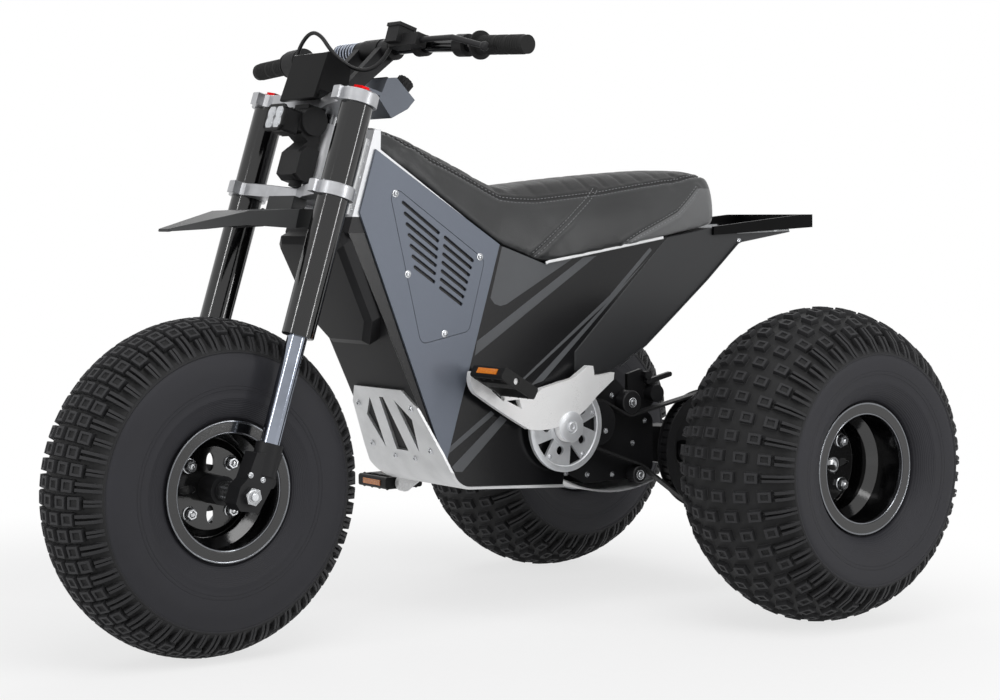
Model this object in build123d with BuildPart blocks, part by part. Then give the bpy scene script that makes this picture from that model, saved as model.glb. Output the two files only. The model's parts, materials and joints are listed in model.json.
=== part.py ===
from build123d import *
from math import acos, atan2, cos, degrees, hypot, radians, sin
import os

# Electric three-wheeler: one steered front wheel, two rear wheels on a live axle.
# Millimetres. +X points forward, +Y to the rider's left, +Z up. The origin lies on the ground,
# midway between the front and the rear end of the tyres.

os.makedirs("parts", exist_ok=True)

# ---------------------------------------------------------------- driving dimensions
WHEELBASE = 1040.0
TYRE_RADIUS = 279.4  # to the tips of the lugs, a 22 inch tyre
REAR_TRACK = 780.0  # between the middles of the rear tyres
FRONT_TYRE_WIDTH = 198.0
REAR_TYRE_WIDTH = 276.0
LUG_HEIGHT = 11.0
LUG_WIDTH = 27.0
LUGS_PER_ROW = 20
RIM_SEAT_RADIUS = 101.0  # 8 inch rim
RIM_LIP_RADIUS = 115.0
RIM_SHEET = 4.0
RIM_WELL_RADIUS = 86.0  # drop centre of the rim
FRONT_RIM_WIDTH = 176.0
REAR_RIM_WIDTH = 212.0
FRONT_DISC_INSET = 62.0  # from the rim's left lip to the face of its centre disc
REAR_DISC_INSET = 95.0
HUB_RADIUS = 38.0
DISC_SLOT_RADIUS = 43.0  # circle of the four leaf-shaped slots in a wheel disc
DISC_SLOT_REACH = 15.0  # half the length of such a slot

FRONT_AXLE_RADIUS = 10.0
REAR_AXLE_RADIUS = 15.0
RUNNING_FIT = 0.05  # radial play of a turning shaft in its bore
SEAT_GAP = 0.2  # play between fitted pieces of one body

RAKE = 17.3  # steering axis, degrees back from upright
FORK_DROP = 514.1  # from the lower clamp down to the front axle, along the axis
AXLE_LEAD = 66.1  # front axle ahead of the steering axis
FORK_OFFSET = 45.0  # fork tubes ahead of the steering axis
FORK_HALF_SPACING = 137.0
FORK_TUBE_RADIUS = 27.0
SLIDER_RADIUS = 16.5
CLAMP_GAP = 161.0  # from the lower clamp's middle to the upper clamp's
CLAMP_THICKNESS = 22.0
CLAMP_WALL = 6.0
STEM_RADIUS = 14.0
HEAD_TUBE_RADIUS = 22.0

BODY_HALF_WIDTH = 99.0  # outer face of the lower side panels
PANEL_SHEET = 3.0
UPPER_PANEL_SHEET = 4.0
FRAME_SHEET = 4.0
SKID_SHEET = 5.0
KEEL_BEND = 65.0
SEAT_WIDTH = 230.0

CRANK_SPINDLE_RADIUS = 10.0
CRANK_BOSS_WALL = 9.0
DISC_RADIUS = 82.0
ARM_THICKNESS = 12.0
PEDAL_SPINDLE_RADIUS = 6.0

CARRIER_HALF_WIDTH = 46.0
MOTOR_HALF_WIDTH = 77.0
MOTOR_DRUM_RADIUS = 66.0
PULLEY_TOOTH_RADIUS = 106.0
PULLEY_TEETH = 48
SPROCKET_RADIUS = 40.0
TENSIONER_RADIUS = 22.0
IDLER_RADIUS = 16.0
BELT_THICKNESS = 4.0
BELT_WIDTH = 20.0

BAR_RADIUS = 11.0
BAR_HALF_LENGTH = 407.0
GRIP_RADIUS = 15.5
GRIP_LENGTH = 118.0

# ---------------------------------------------------------------- frames of reference
FRONT_AXLE_X = WHEELBASE / 2
REAR_AXLE_X = -WHEELBASE / 2
AXLE_Z = TYRE_RADIUS
rake_cos = cos(radians(RAKE))
rake_sin = sin(radians(RAKE))
HEAD_X = FRONT_AXLE_X - AXLE_LEAD * rake_cos - FORK_DROP * rake_sin
HEAD_Z = AXLE_Z - AXLE_LEAD * rake_sin + FORK_DROP * rake_cos

# looking along the steering axis: local x points forward, local y to the left
STEER = Plane(origin=(HEAD_X, 0, HEAD_Z), x_dir=(rake_cos, 0, rake_sin), z_dir=(-rake_sin, 0, rake_cos))
# side view in the steering's frame: local x forward, local y up the axis
STEER_SIDE = Plane(origin=(HEAD_X, 0, HEAD_Z), x_dir=(rake_cos, 0, rake_sin), z_dir=(0, -1, 0))
LAYOUT_HEAD = (304.0, 750.6)  # where the head stands in the body's own layout


def at_head(forward, up):
    """Side-view point (X, Z) of a place given ahead of the steering axis and up along it."""
    return (
        HEAD_X + forward * rake_cos - up * rake_sin,
        HEAD_Z + forward * rake_sin + up * rake_cos,
    )


def head_point(forward, left, up):
    """The same as at_head, as a point in space."""
    x, z = at_head(forward, up)
    return (x, left, z)


def body(x, z):
    """Side-view point (X, Z) of a place in the body's layout, which hangs from the head."""
    return (x + HEAD_X - LAYOUT_HEAD[0], z + HEAD_Z - LAYOUT_HEAD[1])


def between(start, end, share):
    """Point on the way from one side-view point to another."""
    return (start[0] + (end[0] - start[0]) * share, start[1] + (end[1] - start[1]) * share)


def save(name, part):
    """Label one finished piece and write it."""
    part.label = name
    export_step(part, "parts/" + name + ".step")


# ---------------------------------------------------------------- body outline, side view (X, Z)
NOSE_SETBACK = 24.5  # front edge of the body behind the steering axis
HEAD_WALL = 5.0
HEAD_PLATE_TOP = 132.0  # reach of the head box along the steering axis
HEAD_PLATE_FOOT = -50.0
PANEL_SETBACK = 10.0  # upper panel's edge behind the head box's front
FRONT_TOP = at_head(-NOSE_SETBACK, HEAD_PLATE_TOP)
FRONT_SHOULDER = at_head(-NOSE_SETBACK, HEAD_PLATE_FOOT)
SEAT_NOSE = body(241, 843)
SEAT_MID = body(-21, 672)
SEAT_DIP = body(-126, 636)
KEEL_CORNER = body(83.5, 254.8)
KEEL_REAR = body(-165, 240)
STERN_LOW = body(-193, 442)
STERN_HIGH = body(-193, 477)
WING_TOP = body(-418, 682)
WING_BACK = body(-532, 698)
WING_TIP_HIGH = body(-734, 703)
WING_TIP_LOW = body(-741, 688)
WING_KINK = body(-602, 668)
WING_LOW_REAR = body(-517, 598)
WING_LOW_MID = body(-362, 480)
WING_LOW_FRONT = body(-286, 440)
WING_FOOT = body(-237, 434)
CRANK_X, CRANK_Z = body(-160, 346)
PANEL_INNER = BODY_HALF_WIDTH - PANEL_SHEET
UPPER_FACE_Y = BODY_HALF_WIDTH + UPPER_PANEL_SHEET

SEAT_LINE_TURN = atan2(SEAT_NOSE[1] - SEAT_MID[1], SEAT_NOSE[0] - SEAT_MID[0])


def along_seat_line(z):
    """Point of the upper panel's top edge at a height."""
    return (SEAT_MID[0] + (z - SEAT_MID[1]) * cos(SEAT_LINE_TURN) / sin(SEAT_LINE_TURN), z)


PANEL_SPLIT = along_seat_line(FRONT_SHOULDER[1])

with BuildSketch(Plane.XZ) as body_outline:
    with BuildLine():
        Polyline(
            FRONT_SHOULDER, KEEL_CORNER, KEEL_REAR, STERN_LOW, STERN_HIGH, SEAT_DIP, SEAT_MID, PANEL_SPLIT,
            close=True,
        )
    make_face()
    fillet(body_outline.vertices().sort_by_distance(KEEL_CORNER)[0], radius=KEEL_BEND)

# the sloping front face: local x to the left, local y up the face
nose_run = atan2(FRONT_SHOULDER[0] - KEEL_CORNER[0], FRONT_SHOULDER[1] - KEEL_CORNER[1])
NOSE_FACE = Plane(
    origin=(FRONT_SHOULDER[0], 0, FRONT_SHOULDER[1]),
    x_dir=(0, 1, 0),
    z_dir=(cos(nose_run), 0, -sin(nose_run)),
)

# ================================================================ chassis
with BuildPart() as frame:
    with BuildSketch(Plane.XZ):
        add(body_outline.sketch_local)
        offset(amount=-FRAME_SHEET, kind=Kind.INTERSECTION, mode=Mode.SUBTRACT)
    extrude(amount=PANEL_INNER, both=True)
    with BuildSketch(Plane.XZ):
        with Locations((CRANK_X, CRANK_Z)):
            Circle(CRANK_SPINDLE_RADIUS + CRANK_BOSS_WALL)
    extrude(amount=PANEL_INNER, both=True)
    with BuildSketch(Plane.XZ):
        with Locations((CRANK_X, CRANK_Z)):
            Circle(CRANK_SPINDLE_RADIUS + RUNNING_FIT)
    extrude(amount=BODY_HALF_WIDTH, both=True, mode=Mode.SUBTRACT)
save("frame", frame.part)

head_wall_back = -NOSE_SETBACK - HEAD_WALL
wall_top = at_head(head_wall_back, HEAD_PLATE_TOP)
wall_foot = at_head(head_wall_back, HEAD_PLATE_FOOT + HEAD_WALL * rake_sin / rake_cos)
with BuildPart() as head_frame:
    with BuildSketch(Plane.XZ.offset(-BODY_HALF_WIDTH)):
        with BuildLine():
            Polyline(
                FRONT_SHOULDER, FRONT_TOP, (FRONT_TOP[0] - 13, FRONT_TOP[1]),
                along_seat_line(FRONT_TOP[1] - 34), PANEL_SPLIT, close=True,
            )
        make_face()
    extrude(amount=PANEL_SHEET)
    mirror(about=Plane.XZ)
    with BuildSketch(Plane.XZ):
        with BuildLine():
            Polyline(FRONT_SHOULDER, FRONT_TOP, wall_top, wall_foot, close=True)
        make_face()
    extrude(amount=PANEL_INNER, both=True)
    with BuildSketch(STEER.offset(CLAMP_THICKNESS / 2 + 2)):
        Circle(HEAD_TUBE_RADIUS)
        with Locations((-NOSE_SETBACK / 2, 0)):
            Rectangle(NOSE_SETBACK, 30)
    extrude(amount=119.0)
    with BuildSketch(STEER):
        Circle(STEM_RADIUS + RUNNING_FIT)
    extrude(amount=CLAMP_GAP, mode=Mode.SUBTRACT)
save("head_frame", head_frame.part)

BATTERY_TOP = 540.0
BATTERY_CLEARANCE = 2.0
BATTERY_SETBACK = 45.0  # ahead of the frame's rear corner
with BuildPart() as battery_pack:
    with BuildSketch(Plane.XZ):
        add(body_outline.sketch_local)
        offset(amount=-FRAME_SHEET - SEAT_GAP, kind=Kind.INTERSECTION, mode=Mode.REPLACE)
        with BuildLine():
            Polyline(
                body(-165 + BATTERY_SETBACK, 200), body(300, 200), body(300, BATTERY_TOP),
                body(-165 + BATTERY_SETBACK, BATTERY_TOP), close=True,
            )
        make_face(mode=Mode.INTERSECT)
    extrude(amount=PANEL_INNER - BATTERY_CLEARANCE, both=True)
save("battery_pack", battery_pack.part)

with BuildPart() as side_panels:
    with BuildSketch(Plane.XZ.offset(-BODY_HALF_WIDTH)):
        add(body_outline.sketch_local)
        with BuildLine():
            Polyline(STERN_HIGH, WING_TOP, SEAT_DIP, close=True)
        make_face()
        with Locations((CRANK_X, CRANK_Z)):
            Circle(CRANK_SPINDLE_RADIUS + CRANK_BOSS_WALL, mode=Mode.SUBTRACT)
    extrude(amount=PANEL_SHEET)
    mirror(about=Plane.XZ)
save("side_panels", side_panels.part)

# hatch in the upper panel, with two columns of cooling slots
HATCH = [body(219, 784), body(12, 646), body(47, 522), body(150, 503)]
HATCH_CORNER = 14.0
HATCH_GAP = 0.8
SLOTS = 7
SLOT_HEIGHT = 6.0
slot_columns = [
    (body(186, 746), body(112, 694), body(162, 636), body(122, 610)),
    (body(98, 686), body(39, 645), body(108, 599), body(64, 570)),
]

with BuildSketch(Plane.XZ) as hatch_outline:
    with BuildLine():
        Polyline(*HATCH, close=True)
    make_face()
    fillet(hatch_outline.vertices(), radius=HATCH_CORNER)

with BuildPart() as upper_panels:
    with BuildSketch(Plane.XZ.offset(-UPPER_FACE_Y)):
        with BuildLine():
            Polyline(
                at_head(-NOSE_SETBACK - PANEL_SETBACK, 100), at_head(-NOSE_SETBACK - PANEL_SETBACK, -12),
                body(98, 294), SEAT_MID, close=True,
            )
        make_face()
        add(hatch_outline.sketch_local, mode=Mode.SUBTRACT)
    extrude(amount=UPPER_PANEL_SHEET)
    mirror(about=Plane.XZ)
save("upper_panels", upper_panels.part)

with BuildPart() as vent_plates:
    with BuildSketch(Plane.XZ.offset(-UPPER_FACE_Y)):
        add(hatch_outline.sketch_local)
        offset(amount=-HATCH_GAP, mode=Mode.REPLACE)
        for top_front, top_rear, low_front, low_rear in slot_columns:
            for slot in range(SLOTS):
                front = between(top_front, low_front, slot / (SLOTS - 1))
                rear = between(top_rear, low_rear, slot / (SLOTS - 1))
                turn = degrees(atan2(front[1] - rear[1], front[0] - rear[0]))
                run = hypot(front[0] - rear[0], front[1] - rear[1])
                with Locations(Location(between(front, rear, 0.5), turn)):
                    SlotCenterToCenter(run, SLOT_HEIGHT, mode=Mode.SUBTRACT)
    extrude(amount=UPPER_PANEL_SHEET)
    mirror(about=Plane.XZ)
save("vent_plates", vent_plates.part)

WING_CHAMFER = 1.8
with BuildPart() as tail_panels:
    with BuildSketch(Plane.XZ.offset(-BODY_HALF_WIDTH)):
        with BuildLine():
            Polyline(
                STERN_HIGH, STERN_LOW, WING_FOOT, WING_LOW_FRONT, WING_LOW_MID, WING_LOW_REAR,
                WING_KINK, WING_TIP_LOW, WING_TIP_HIGH, WING_BACK, WING_TOP, close=True,
            )
        make_face()
    extrude(amount=PANEL_SHEET)
    outer_face = tail_panels.faces().sort_by(Axis.Y)[-1]
    chamfer(outer_face.edges().filter_by_position(Axis.Z, 0, WING_TIP_HIGH[1] - 1), WING_CHAMFER)
    mirror(about=Plane.XZ)
save("tail_panels", tail_panels.part)

with BuildPart() as subframe:
    with BuildSketch(Plane.XZ):
        with BuildLine():
            Polyline(
                STERN_LOW, STERN_HIGH, SEAT_DIP, WING_TOP, WING_BACK, WING_KINK,
                WING_LOW_REAR, WING_LOW_MID, WING_LOW_FRONT, WING_FOOT, close=True,
            )
        make_face()
        offset(amount=-PANEL_SHEET, kind=Kind.INTERSECTION, mode=Mode.SUBTRACT)
    extrude(amount=PANEL_INNER, both=True)
save("subframe", subframe.part)

RACK_END_X, RACK_TOP = body(-796, 722)
RACK_BAR = 6.0
RACK_DEPTH = 25.0
with BuildPart() as tail_rack:
    with BuildSketch(Plane.XZ.offset(-BODY_HALF_WIDTH - RACK_BAR)):
        with BuildLine():
            Polyline(
                (WING_BACK[0], WING_BACK[1] - 14), (WING_BACK[0], WING_BACK[1] + 2),
                (RACK_END_X + 30, RACK_TOP), (RACK_END_X, RACK_TOP), (RACK_END_X, RACK_TOP - RACK_DEPTH),
                close=True,
            )
        make_face()
    extrude(amount=RACK_BAR)
    mirror(about=Plane.XZ)
    with BuildSketch(Plane.XZ):
        with Locations((RACK_END_X + RACK_BAR / 2, RACK_TOP - RACK_DEPTH / 2)):
            Rectangle(RACK_BAR, RACK_DEPTH)
    extrude(amount=BODY_HALF_WIDTH + RACK_BAR, both=True)
save("tail_rack", tail_rack.part)

SEAT_CLEARANCE = 0.3
with BuildPart() as seat:
    with BuildSketch(Plane.XZ):
        with BuildLine():
            underside = Polyline(
                body(234, 862), along_seat_line(FRONT_TOP[1] - 37),
                (SEAT_MID[0], SEAT_MID[1] + SEAT_CLEARANCE), (SEAT_DIP[0], SEAT_DIP[1] + SEAT_CLEARANCE),
                (WING_TOP[0], WING_TOP[1] + SEAT_CLEARANCE),
                body(-520, 699), body(-556, 706),
            )
            tail = ThreePointArc(underside @ 1, body(-579, 748), body(-562, 790))
            rump = ThreePointArc(tail @ 1, body(-543, 804), body(-514, 807))
            cushion = ThreePointArc(rump @ 1, body(-290, 794), body(-64, 772))
            dip = ThreePointArc(cushion @ 1, body(-16, 781), body(30, 801))
            Polyline(dip @ 1, body(96, 829), body(161, 853), body(210, 871), underside @ 0)
        make_face()
    extrude(amount=SEAT_WIDTH / 2, both=True)
    with BuildSketch(Plane.XY.offset(HEAD_Z - 200)):
        with BuildLine():
            right = Spline(
                (SEAT_NOSE[0] - 7, -62), (SEAT_NOSE[0] - 60, -92), (SEAT_MID[0] + 30, -106),
                (WING_TOP[0] + 140, -SEAT_WIDTH / 2), (WING_BACK[0], -SEAT_WIDTH / 2 + 10),
            )
            back = ThreePointArc(right @ 1, (WING_BACK[0] - 50, 0), (WING_BACK[0], SEAT_WIDTH / 2 - 10))
            left = Spline(
                back @ 1, (WING_TOP[0] + 140, SEAT_WIDTH / 2), (SEAT_MID[0] + 30, 106),
                (SEAT_NOSE[0] - 60, 92), (SEAT_NOSE[0] - 7, 62),
            )
            Line(left @ 1, right @ 0)
        make_face()
    extrude(amount=400, mode=Mode.INTERSECT)
save("seat", seat.part)

skid_corner = KEEL_CORNER[0] + 60
SKID_TOP = body(0, 424)[1]
with BuildPart() as skid_plate:
    with BuildSketch(Plane.XZ):
        add(body_outline.sketch_local)
        offset(amount=SKID_SHEET, kind=Kind.INTERSECTION)
        add(body_outline.sketch_local, mode=Mode.SUBTRACT)
        with BuildLine():
            Polyline(
                (KEEL_REAR[0], 150), (KEEL_REAR[0], KEEL_REAR[1] + 22), body(20, 300), body(140, 430),
                (skid_corner + 60, SKID_TOP), (skid_corner + 60, 150), close=True,
            )
        make_face(mode=Mode.INTERSECT)
    extrude(amount=140, both=True)
    with BuildSketch(Plane.YZ.offset(KEEL_REAR[0] - 10)):
        with BuildLine():
            skid_side = [
                (72, SKID_TOP), (98, SKID_TOP - 30), (119, SKID_TOP - 112), (124, SKID_TOP - 142),
                (112, SKID_TOP - 168), (BODY_HALF_WIDTH + 3, SKID_TOP - 178), (BODY_HALF_WIDTH + 3, 150),
            ]
            Polyline(*skid_side, *[(-y, z) for y, z in reversed(skid_side)], close=True)
        make_face()
    extrude(amount=500, mode=Mode.INTERSECT)
    with BuildSketch(NOSE_FACE):
        for side in (-1, 1):
            with BuildLine():
                Polyline((side * 37, -320), (side * 69, -357), (side * 50, -423), close=True)
            make_face()
        with BuildLine():
            Polyline((-6, -317), (6, -317), (18, -423), (-18, -423), close=True)
        make_face()
    extrude(amount=SKID_SHEET * 2, mode=Mode.SUBTRACT)
save("skid_plate", skid_plate.part)

COVER_DEPTH = 27.0
with BuildPart() as front_cover:
    with BuildSketch(NOSE_FACE):
        with BuildLine():
            Polyline(
                (-84, 2), (84, 2), (101, -14), (94, -158), (56, -204), (-56, -204), (-94, -158), (-101, -14),
                close=True,
            )
        make_face()
    extrude(amount=COVER_DEPTH)
    chamfer(front_cover.faces().sort_by(Axis(NOSE_FACE.origin, NOSE_FACE.z_dir))[-1].edges(), 8, 12)
save("front_cover", front_cover.part)

# ================================================================ drive
stern_rise = STERN_LOW[1] - KEEL_REAR[1]


def behind_stern(z, gap=0.0):
    """Side-view point on the body's rear face, or a gap behind it, at a height in the layout."""
    height = body(0, z)[1]
    return (between(KEEL_REAR, STERN_LOW, (height - KEEL_REAR[1]) / stern_rise)[0] - gap, height)


MOTOR_TOP = 428.0
MOTOR_BELLY = 234.0
MOTOR_REAR = body(-400, 345)
MOTOR_REAR_LOW = body(-400, 244)
MOTOR_DRUM = body(-290, 312)
SPROCKET = body(-245, 345)
belt_run = hypot(REAR_AXLE_X - SPROCKET[0], AXLE_Z - SPROCKET[1])
belt_x = (REAR_AXLE_X - SPROCKET[0]) / belt_run
belt_z = (AXLE_Z - SPROCKET[1]) / belt_run


def beside_belt(share, above):
    """Side-view point at a share of the way from the sprocket to the axle, and above that line."""
    x, z = between(SPROCKET, (REAR_AXLE_X, AXLE_Z), share)
    return (x + above * belt_z, z - above * belt_x)


TENSIONER = beside_belt(0.254, 51.4)
IDLER = beside_belt(0.428, -74.6)
DRIVE_FACE_Y = 104.0  # outer end of the sprocket and the rollers
BELT_SPARE = 0.5  # the belt stops this much short of the drive face
PIN_RADIUS = 6.0

with BuildPart() as motor_unit:
    with BuildSketch(Plane.XZ):
        with BuildLine():
            Polyline(
                behind_stern(266), behind_stern(MOTOR_TOP), body(-300, MOTOR_TOP), MOTOR_REAR, MOTOR_REAR_LOW,
                body(-345, MOTOR_BELLY), body(-235, MOTOR_BELLY), close=True,
            )
        make_face()
    extrude(amount=MOTOR_HALF_WIDTH, both=True)
    fillet(motor_unit.edges().filter_by(Axis.Y).group_by(Axis.X)[0], radius=18)
    with BuildSketch(Plane.XZ):
        with Locations(MOTOR_DRUM):
            Circle(MOTOR_DRUM_RADIUS)
    extrude(amount=MOTOR_HALF_WIDTH + 21)
    chamfer(motor_unit.faces().sort_by(Axis.Y)[0].edges(), 6)
    with BuildSketch(Plane.XZ.offset(-MOTOR_HALF_WIDTH)):
        with Locations(SPROCKET):
            Circle(SPROCKET_RADIUS)
    extrude(amount=MOTOR_HALF_WIDTH - DRIVE_FACE_Y)
save("motor_unit", motor_unit.part)

with BuildPart() as axle_carrier:
    with BuildSketch(Plane.XZ):
        with BuildLine():
            Polyline(
                (MOTOR_REAR[0], MOTOR_REAR[1] - 20), (MOTOR_REAR_LOW[0], MOTOR_REAR_LOW[1] + 20),
                (REAR_AXLE_X + 10, AXLE_Z - 38), (REAR_AXLE_X - 20, AXLE_Z - 30),
                (REAR_AXLE_X - 20, AXLE_Z + 30), (REAR_AXLE_X + 10, AXLE_Z + 38), close=True,
            )
        make_face()
    extrude(amount=CARRIER_HALF_WIDTH - 8, both=True)
    with BuildSketch(Plane.XZ):
        with Locations((REAR_AXLE_X, AXLE_Z)):
            Circle(38)
    extrude(amount=CARRIER_HALF_WIDTH, both=True)
    with BuildSketch(Plane.XZ):
        with Locations((REAR_AXLE_X, AXLE_Z)):
            Circle(REAR_AXLE_RADIUS + RUNNING_FIT)
    extrude(amount=CARRIER_HALF_WIDTH, both=True, mode=Mode.SUBTRACT)
save("axle_carrier", axle_carrier.part)

with BuildPart() as belt_tensioner:
    for centre, radius in ((TENSIONER, TENSIONER_RADIUS), (IDLER, IDLER_RADIUS)):
        with BuildSketch(Plane.XZ.offset(-MOTOR_HALF_WIDTH)):
            with Locations(centre):
                Circle(PIN_RADIUS)
        extrude(amount=-5)
        with BuildSketch(Plane.XZ.offset(-MOTOR_HALF_WIDTH - 5)):
            with Locations(centre):
                Circle(radius)
        extrude(amount=MOTOR_HALF_WIDTH + 5 - DRIVE_FACE_Y)
    chamfer(belt_tensioner.faces().sort_by(Axis.Y)[-2:].edges(), 2)
save("belt_tensioner", belt_tensioner.part)

BELT_RUN_GAP = 0.3  # between the turning pulley and the belt
belt_wheels = [  # centre, radius, and the side of the belt that it touches
    (SPROCKET, SPROCKET_RADIUS + SEAT_GAP, 1),
    (TENSIONER, TENSIONER_RADIUS + SEAT_GAP, -1),
    ((REAR_AXLE_X, AXLE_Z), PULLEY_TOOTH_RADIUS + BELT_RUN_GAP, 1),
    (IDLER, IDLER_RADIUS + SEAT_GAP, -1),
]


def belt_loop(grown):
    """Closed line round the belt's wheels, on its inner side or grown outwards by a thickness."""
    reach = [side * radius + grown - (0 if side > 0 else BELT_THICKNESS) for _, radius, side in belt_wheels]
    arrive, leave = {}, {}
    count = len(belt_wheels)
    for here in range(count):
        there = (here + 1) % count
        start, end = belt_wheels[here][0], belt_wheels[there][0]
        run = hypot(end[0] - start[0], end[1] - start[1])
        turn = atan2(end[1] - start[1], end[0] - start[0]) - acos((reach[here] - reach[there]) / run)
        leave[here] = (start[0] + reach[here] * cos(turn), start[1] + reach[here] * sin(turn))
        arrive[there] = (end[0] + reach[there] * cos(turn), end[1] + reach[there] * sin(turn))
    for here in range(count):
        centre = belt_wheels[here][0]
        first = atan2(arrive[here][1] - centre[1], arrive[here][0] - centre[0])
        last = atan2(leave[here][1] - centre[1], leave[here][0] - centre[0])
        if belt_wheels[here][2] > 0:
            middle = (first + (last - first) % radians(360) / 2)
        else:
            middle = (last + (first - last) % radians(360) / 2)
        size = abs(reach[here])
        ThreePointArc(
            arrive[here], (centre[0] + size * cos(middle), centre[1] + size * sin(middle)), leave[here],
        )
        Line(leave[here], arrive[(here + 1) % count])


with BuildPart() as drive_belt:
    with BuildSketch(Plane.XZ.offset(-DRIVE_FACE_Y + BELT_SPARE)):
        with BuildLine():
            belt_loop(BELT_THICKNESS)
        make_face()
        with BuildLine():
            belt_loop(0)
        make_face(mode=Mode.SUBTRACT)
    extrude(amount=BELT_WIDTH - 1)
save("drive_belt", drive_belt.part)

# parking brake's bracket, cylinder and lever on the left of the motor's rear slope
LINK_Y = 62.0
LINK_SHEET = 8.0
motor_slope = (body(-300, MOTOR_TOP), MOTOR_REAR)
with BuildPart() as brake_linkage:
    with BuildSketch(Plane.XZ.offset(-LINK_Y)):
        with BuildLine():
            Polyline(
                between(*motor_slope, 0.45), body(-345, 428), body(-378, 436), body(-412, 412),
                body(-408, 372), between(*motor_slope, 0.92), close=True,
            )
        make_face()
    extrude(amount=-LINK_SHEET)
    with BuildSketch(Plane.XZ.offset(-LINK_Y)):
        with Locations(body(-399, 390)):
            Circle(16)
    extrude(amount=-30)
    with BuildSketch(Plane.XZ.offset(-LINK_Y)):
        with Locations(body(-385, 424)):
            Circle(8)
    extrude(amount=-22)
    with BuildSketch(Plane.XZ.offset(-LINK_Y - LINK_SHEET - 5)):
        with Locations(Location(body(-412, 418), -12)):
            SlotCenterToCenter(56, 9)
    extrude(amount=-8)
save("brake_linkage", brake_linkage.part)

GUARD_SHEET = 3.0
GUARD_HALF_WIDTH = 92.0
with BuildPart() as rear_guard:
    with BuildSketch(Plane.XZ):
        with BuildLine():
            guard_top = ThreePointArc(behind_stern(250, 2), body(-280, 219), body(-388, 232))
            Line(guard_top @ 1, body(-388, 232 - GUARD_SHEET))
            guard_low = ThreePointArc(
                body(-388, 232 - GUARD_SHEET), body(-280, 219 - GUARD_SHEET),
                behind_stern(250 - GUARD_SHEET, 2),
            )
            Line(guard_low @ 1, guard_top @ 0)
        make_face()
        with BuildLine():
            Polyline(
                behind_stern(246, SEAT_GAP), behind_stern(246, GUARD_SHEET), behind_stern(264, GUARD_SHEET),
                behind_stern(264, SEAT_GAP), close=True,
            )
        make_face()
    extrude(amount=GUARD_HALF_WIDTH, both=True)
save("rear_guard", rear_guard.part)

# ================================================================ crank
CRANK_PLANE_Y = UPPER_FACE_Y + 6
CRANK_DISC_SHEET = 6.0
ARM_Y = CRANK_PLANE_Y + 20  # outer face of the crank arms
ARM_BOSS_RADIUS = 17.0
HUB_CAP_RADIUS = 28.0
LEFT_PEDAL = body(36, 442)
RIGHT_PEDAL = body(28, 235)
PEDAL_LENGTH = 88.0
PEDAL_DEPTH = 82.0
PEDAL_SETBACK = 8.0  # the platform's middle behind its spindle
PEDAL_THICKNESS = 22.0
PEDAL_WALL = 7.0
PEDAL_GAP = 5.0
PEDAL_TILT = 30.0  # left pedal's front edge up

with BuildPart() as crank_arms:
    with BuildSketch(Plane.XZ):
        with Locations((CRANK_X, CRANK_Z)):
            Circle(CRANK_SPINDLE_RADIUS)
    extrude(amount=ARM_Y - 2, both=True)
    # polished left arm, a leaf that runs on past the hub
    with BuildSketch(Plane.XZ.offset(-ARM_Y)):
        with BuildLine():
            tip = ThreePointArc(body(61, 455), body(63, 436), body(51, 415))
            keel = ThreePointArc(tip @ 1, body(-9, 378), body(-64, 347))
            wing = ThreePointArc(keel @ 1, body(-151, 353), body(-220, 397))
            Polyline(
                wing @ 1, body(-260, 425), body(-262, 438), body(-236, 435), body(-215, 434), body(-212, 452),
                body(-201, 453), body(-166, 432), body(-95, 418), body(-72, 400), body(-42, 404),
                body(-9, 408), body(24, 430), tip @ 0,
            )
        make_face()
        with Locations((CRANK_X, CRANK_Z)):
            Circle(HUB_CAP_RADIUS)
        with Locations(LEFT_PEDAL):
            Circle(ARM_BOSS_RADIUS)
        with Locations(Location(body(3, 412), 37)):
            SlotOverall(34, 7, mode=Mode.SUBTRACT)
        with BuildLine():
            Polyline(body(-15, 400), body(-49, 384), body(-43, 401), close=True)
        make_face(mode=Mode.SUBTRACT)
    extrude(amount=ARM_THICKNESS)
    # plain right arm
    reach = (RIGHT_PEDAL[0] - CRANK_X, RIGHT_PEDAL[1] - CRANK_Z)
    reach_turn = degrees(atan2(reach[1], reach[0]))
    with BuildSketch(Plane.XZ.offset(ARM_Y)):
        with Locations(Location(between((CRANK_X, CRANK_Z), RIGHT_PEDAL, 0.5), reach_turn)):
            SlotCenterToCenter(hypot(*reach), 30)
        with Locations((CRANK_X, CRANK_Z)):
            Circle(HUB_CAP_RADIUS)
    extrude(amount=-ARM_THICKNESS)
    for side, pedal in ((1, LEFT_PEDAL), (-1, RIGHT_PEDAL)):
        with BuildSketch(Plane.XZ.offset(-side * (ARM_Y - ARM_THICKNESS / 2))):
            with Locations(pedal):
                Circle(PEDAL_SPINDLE_RADIUS)
        extrude(amount=-side * (ARM_THICKNESS / 2 + PEDAL_GAP + PEDAL_LENGTH - 4))
save("crank_arms", crank_arms.part)

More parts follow.
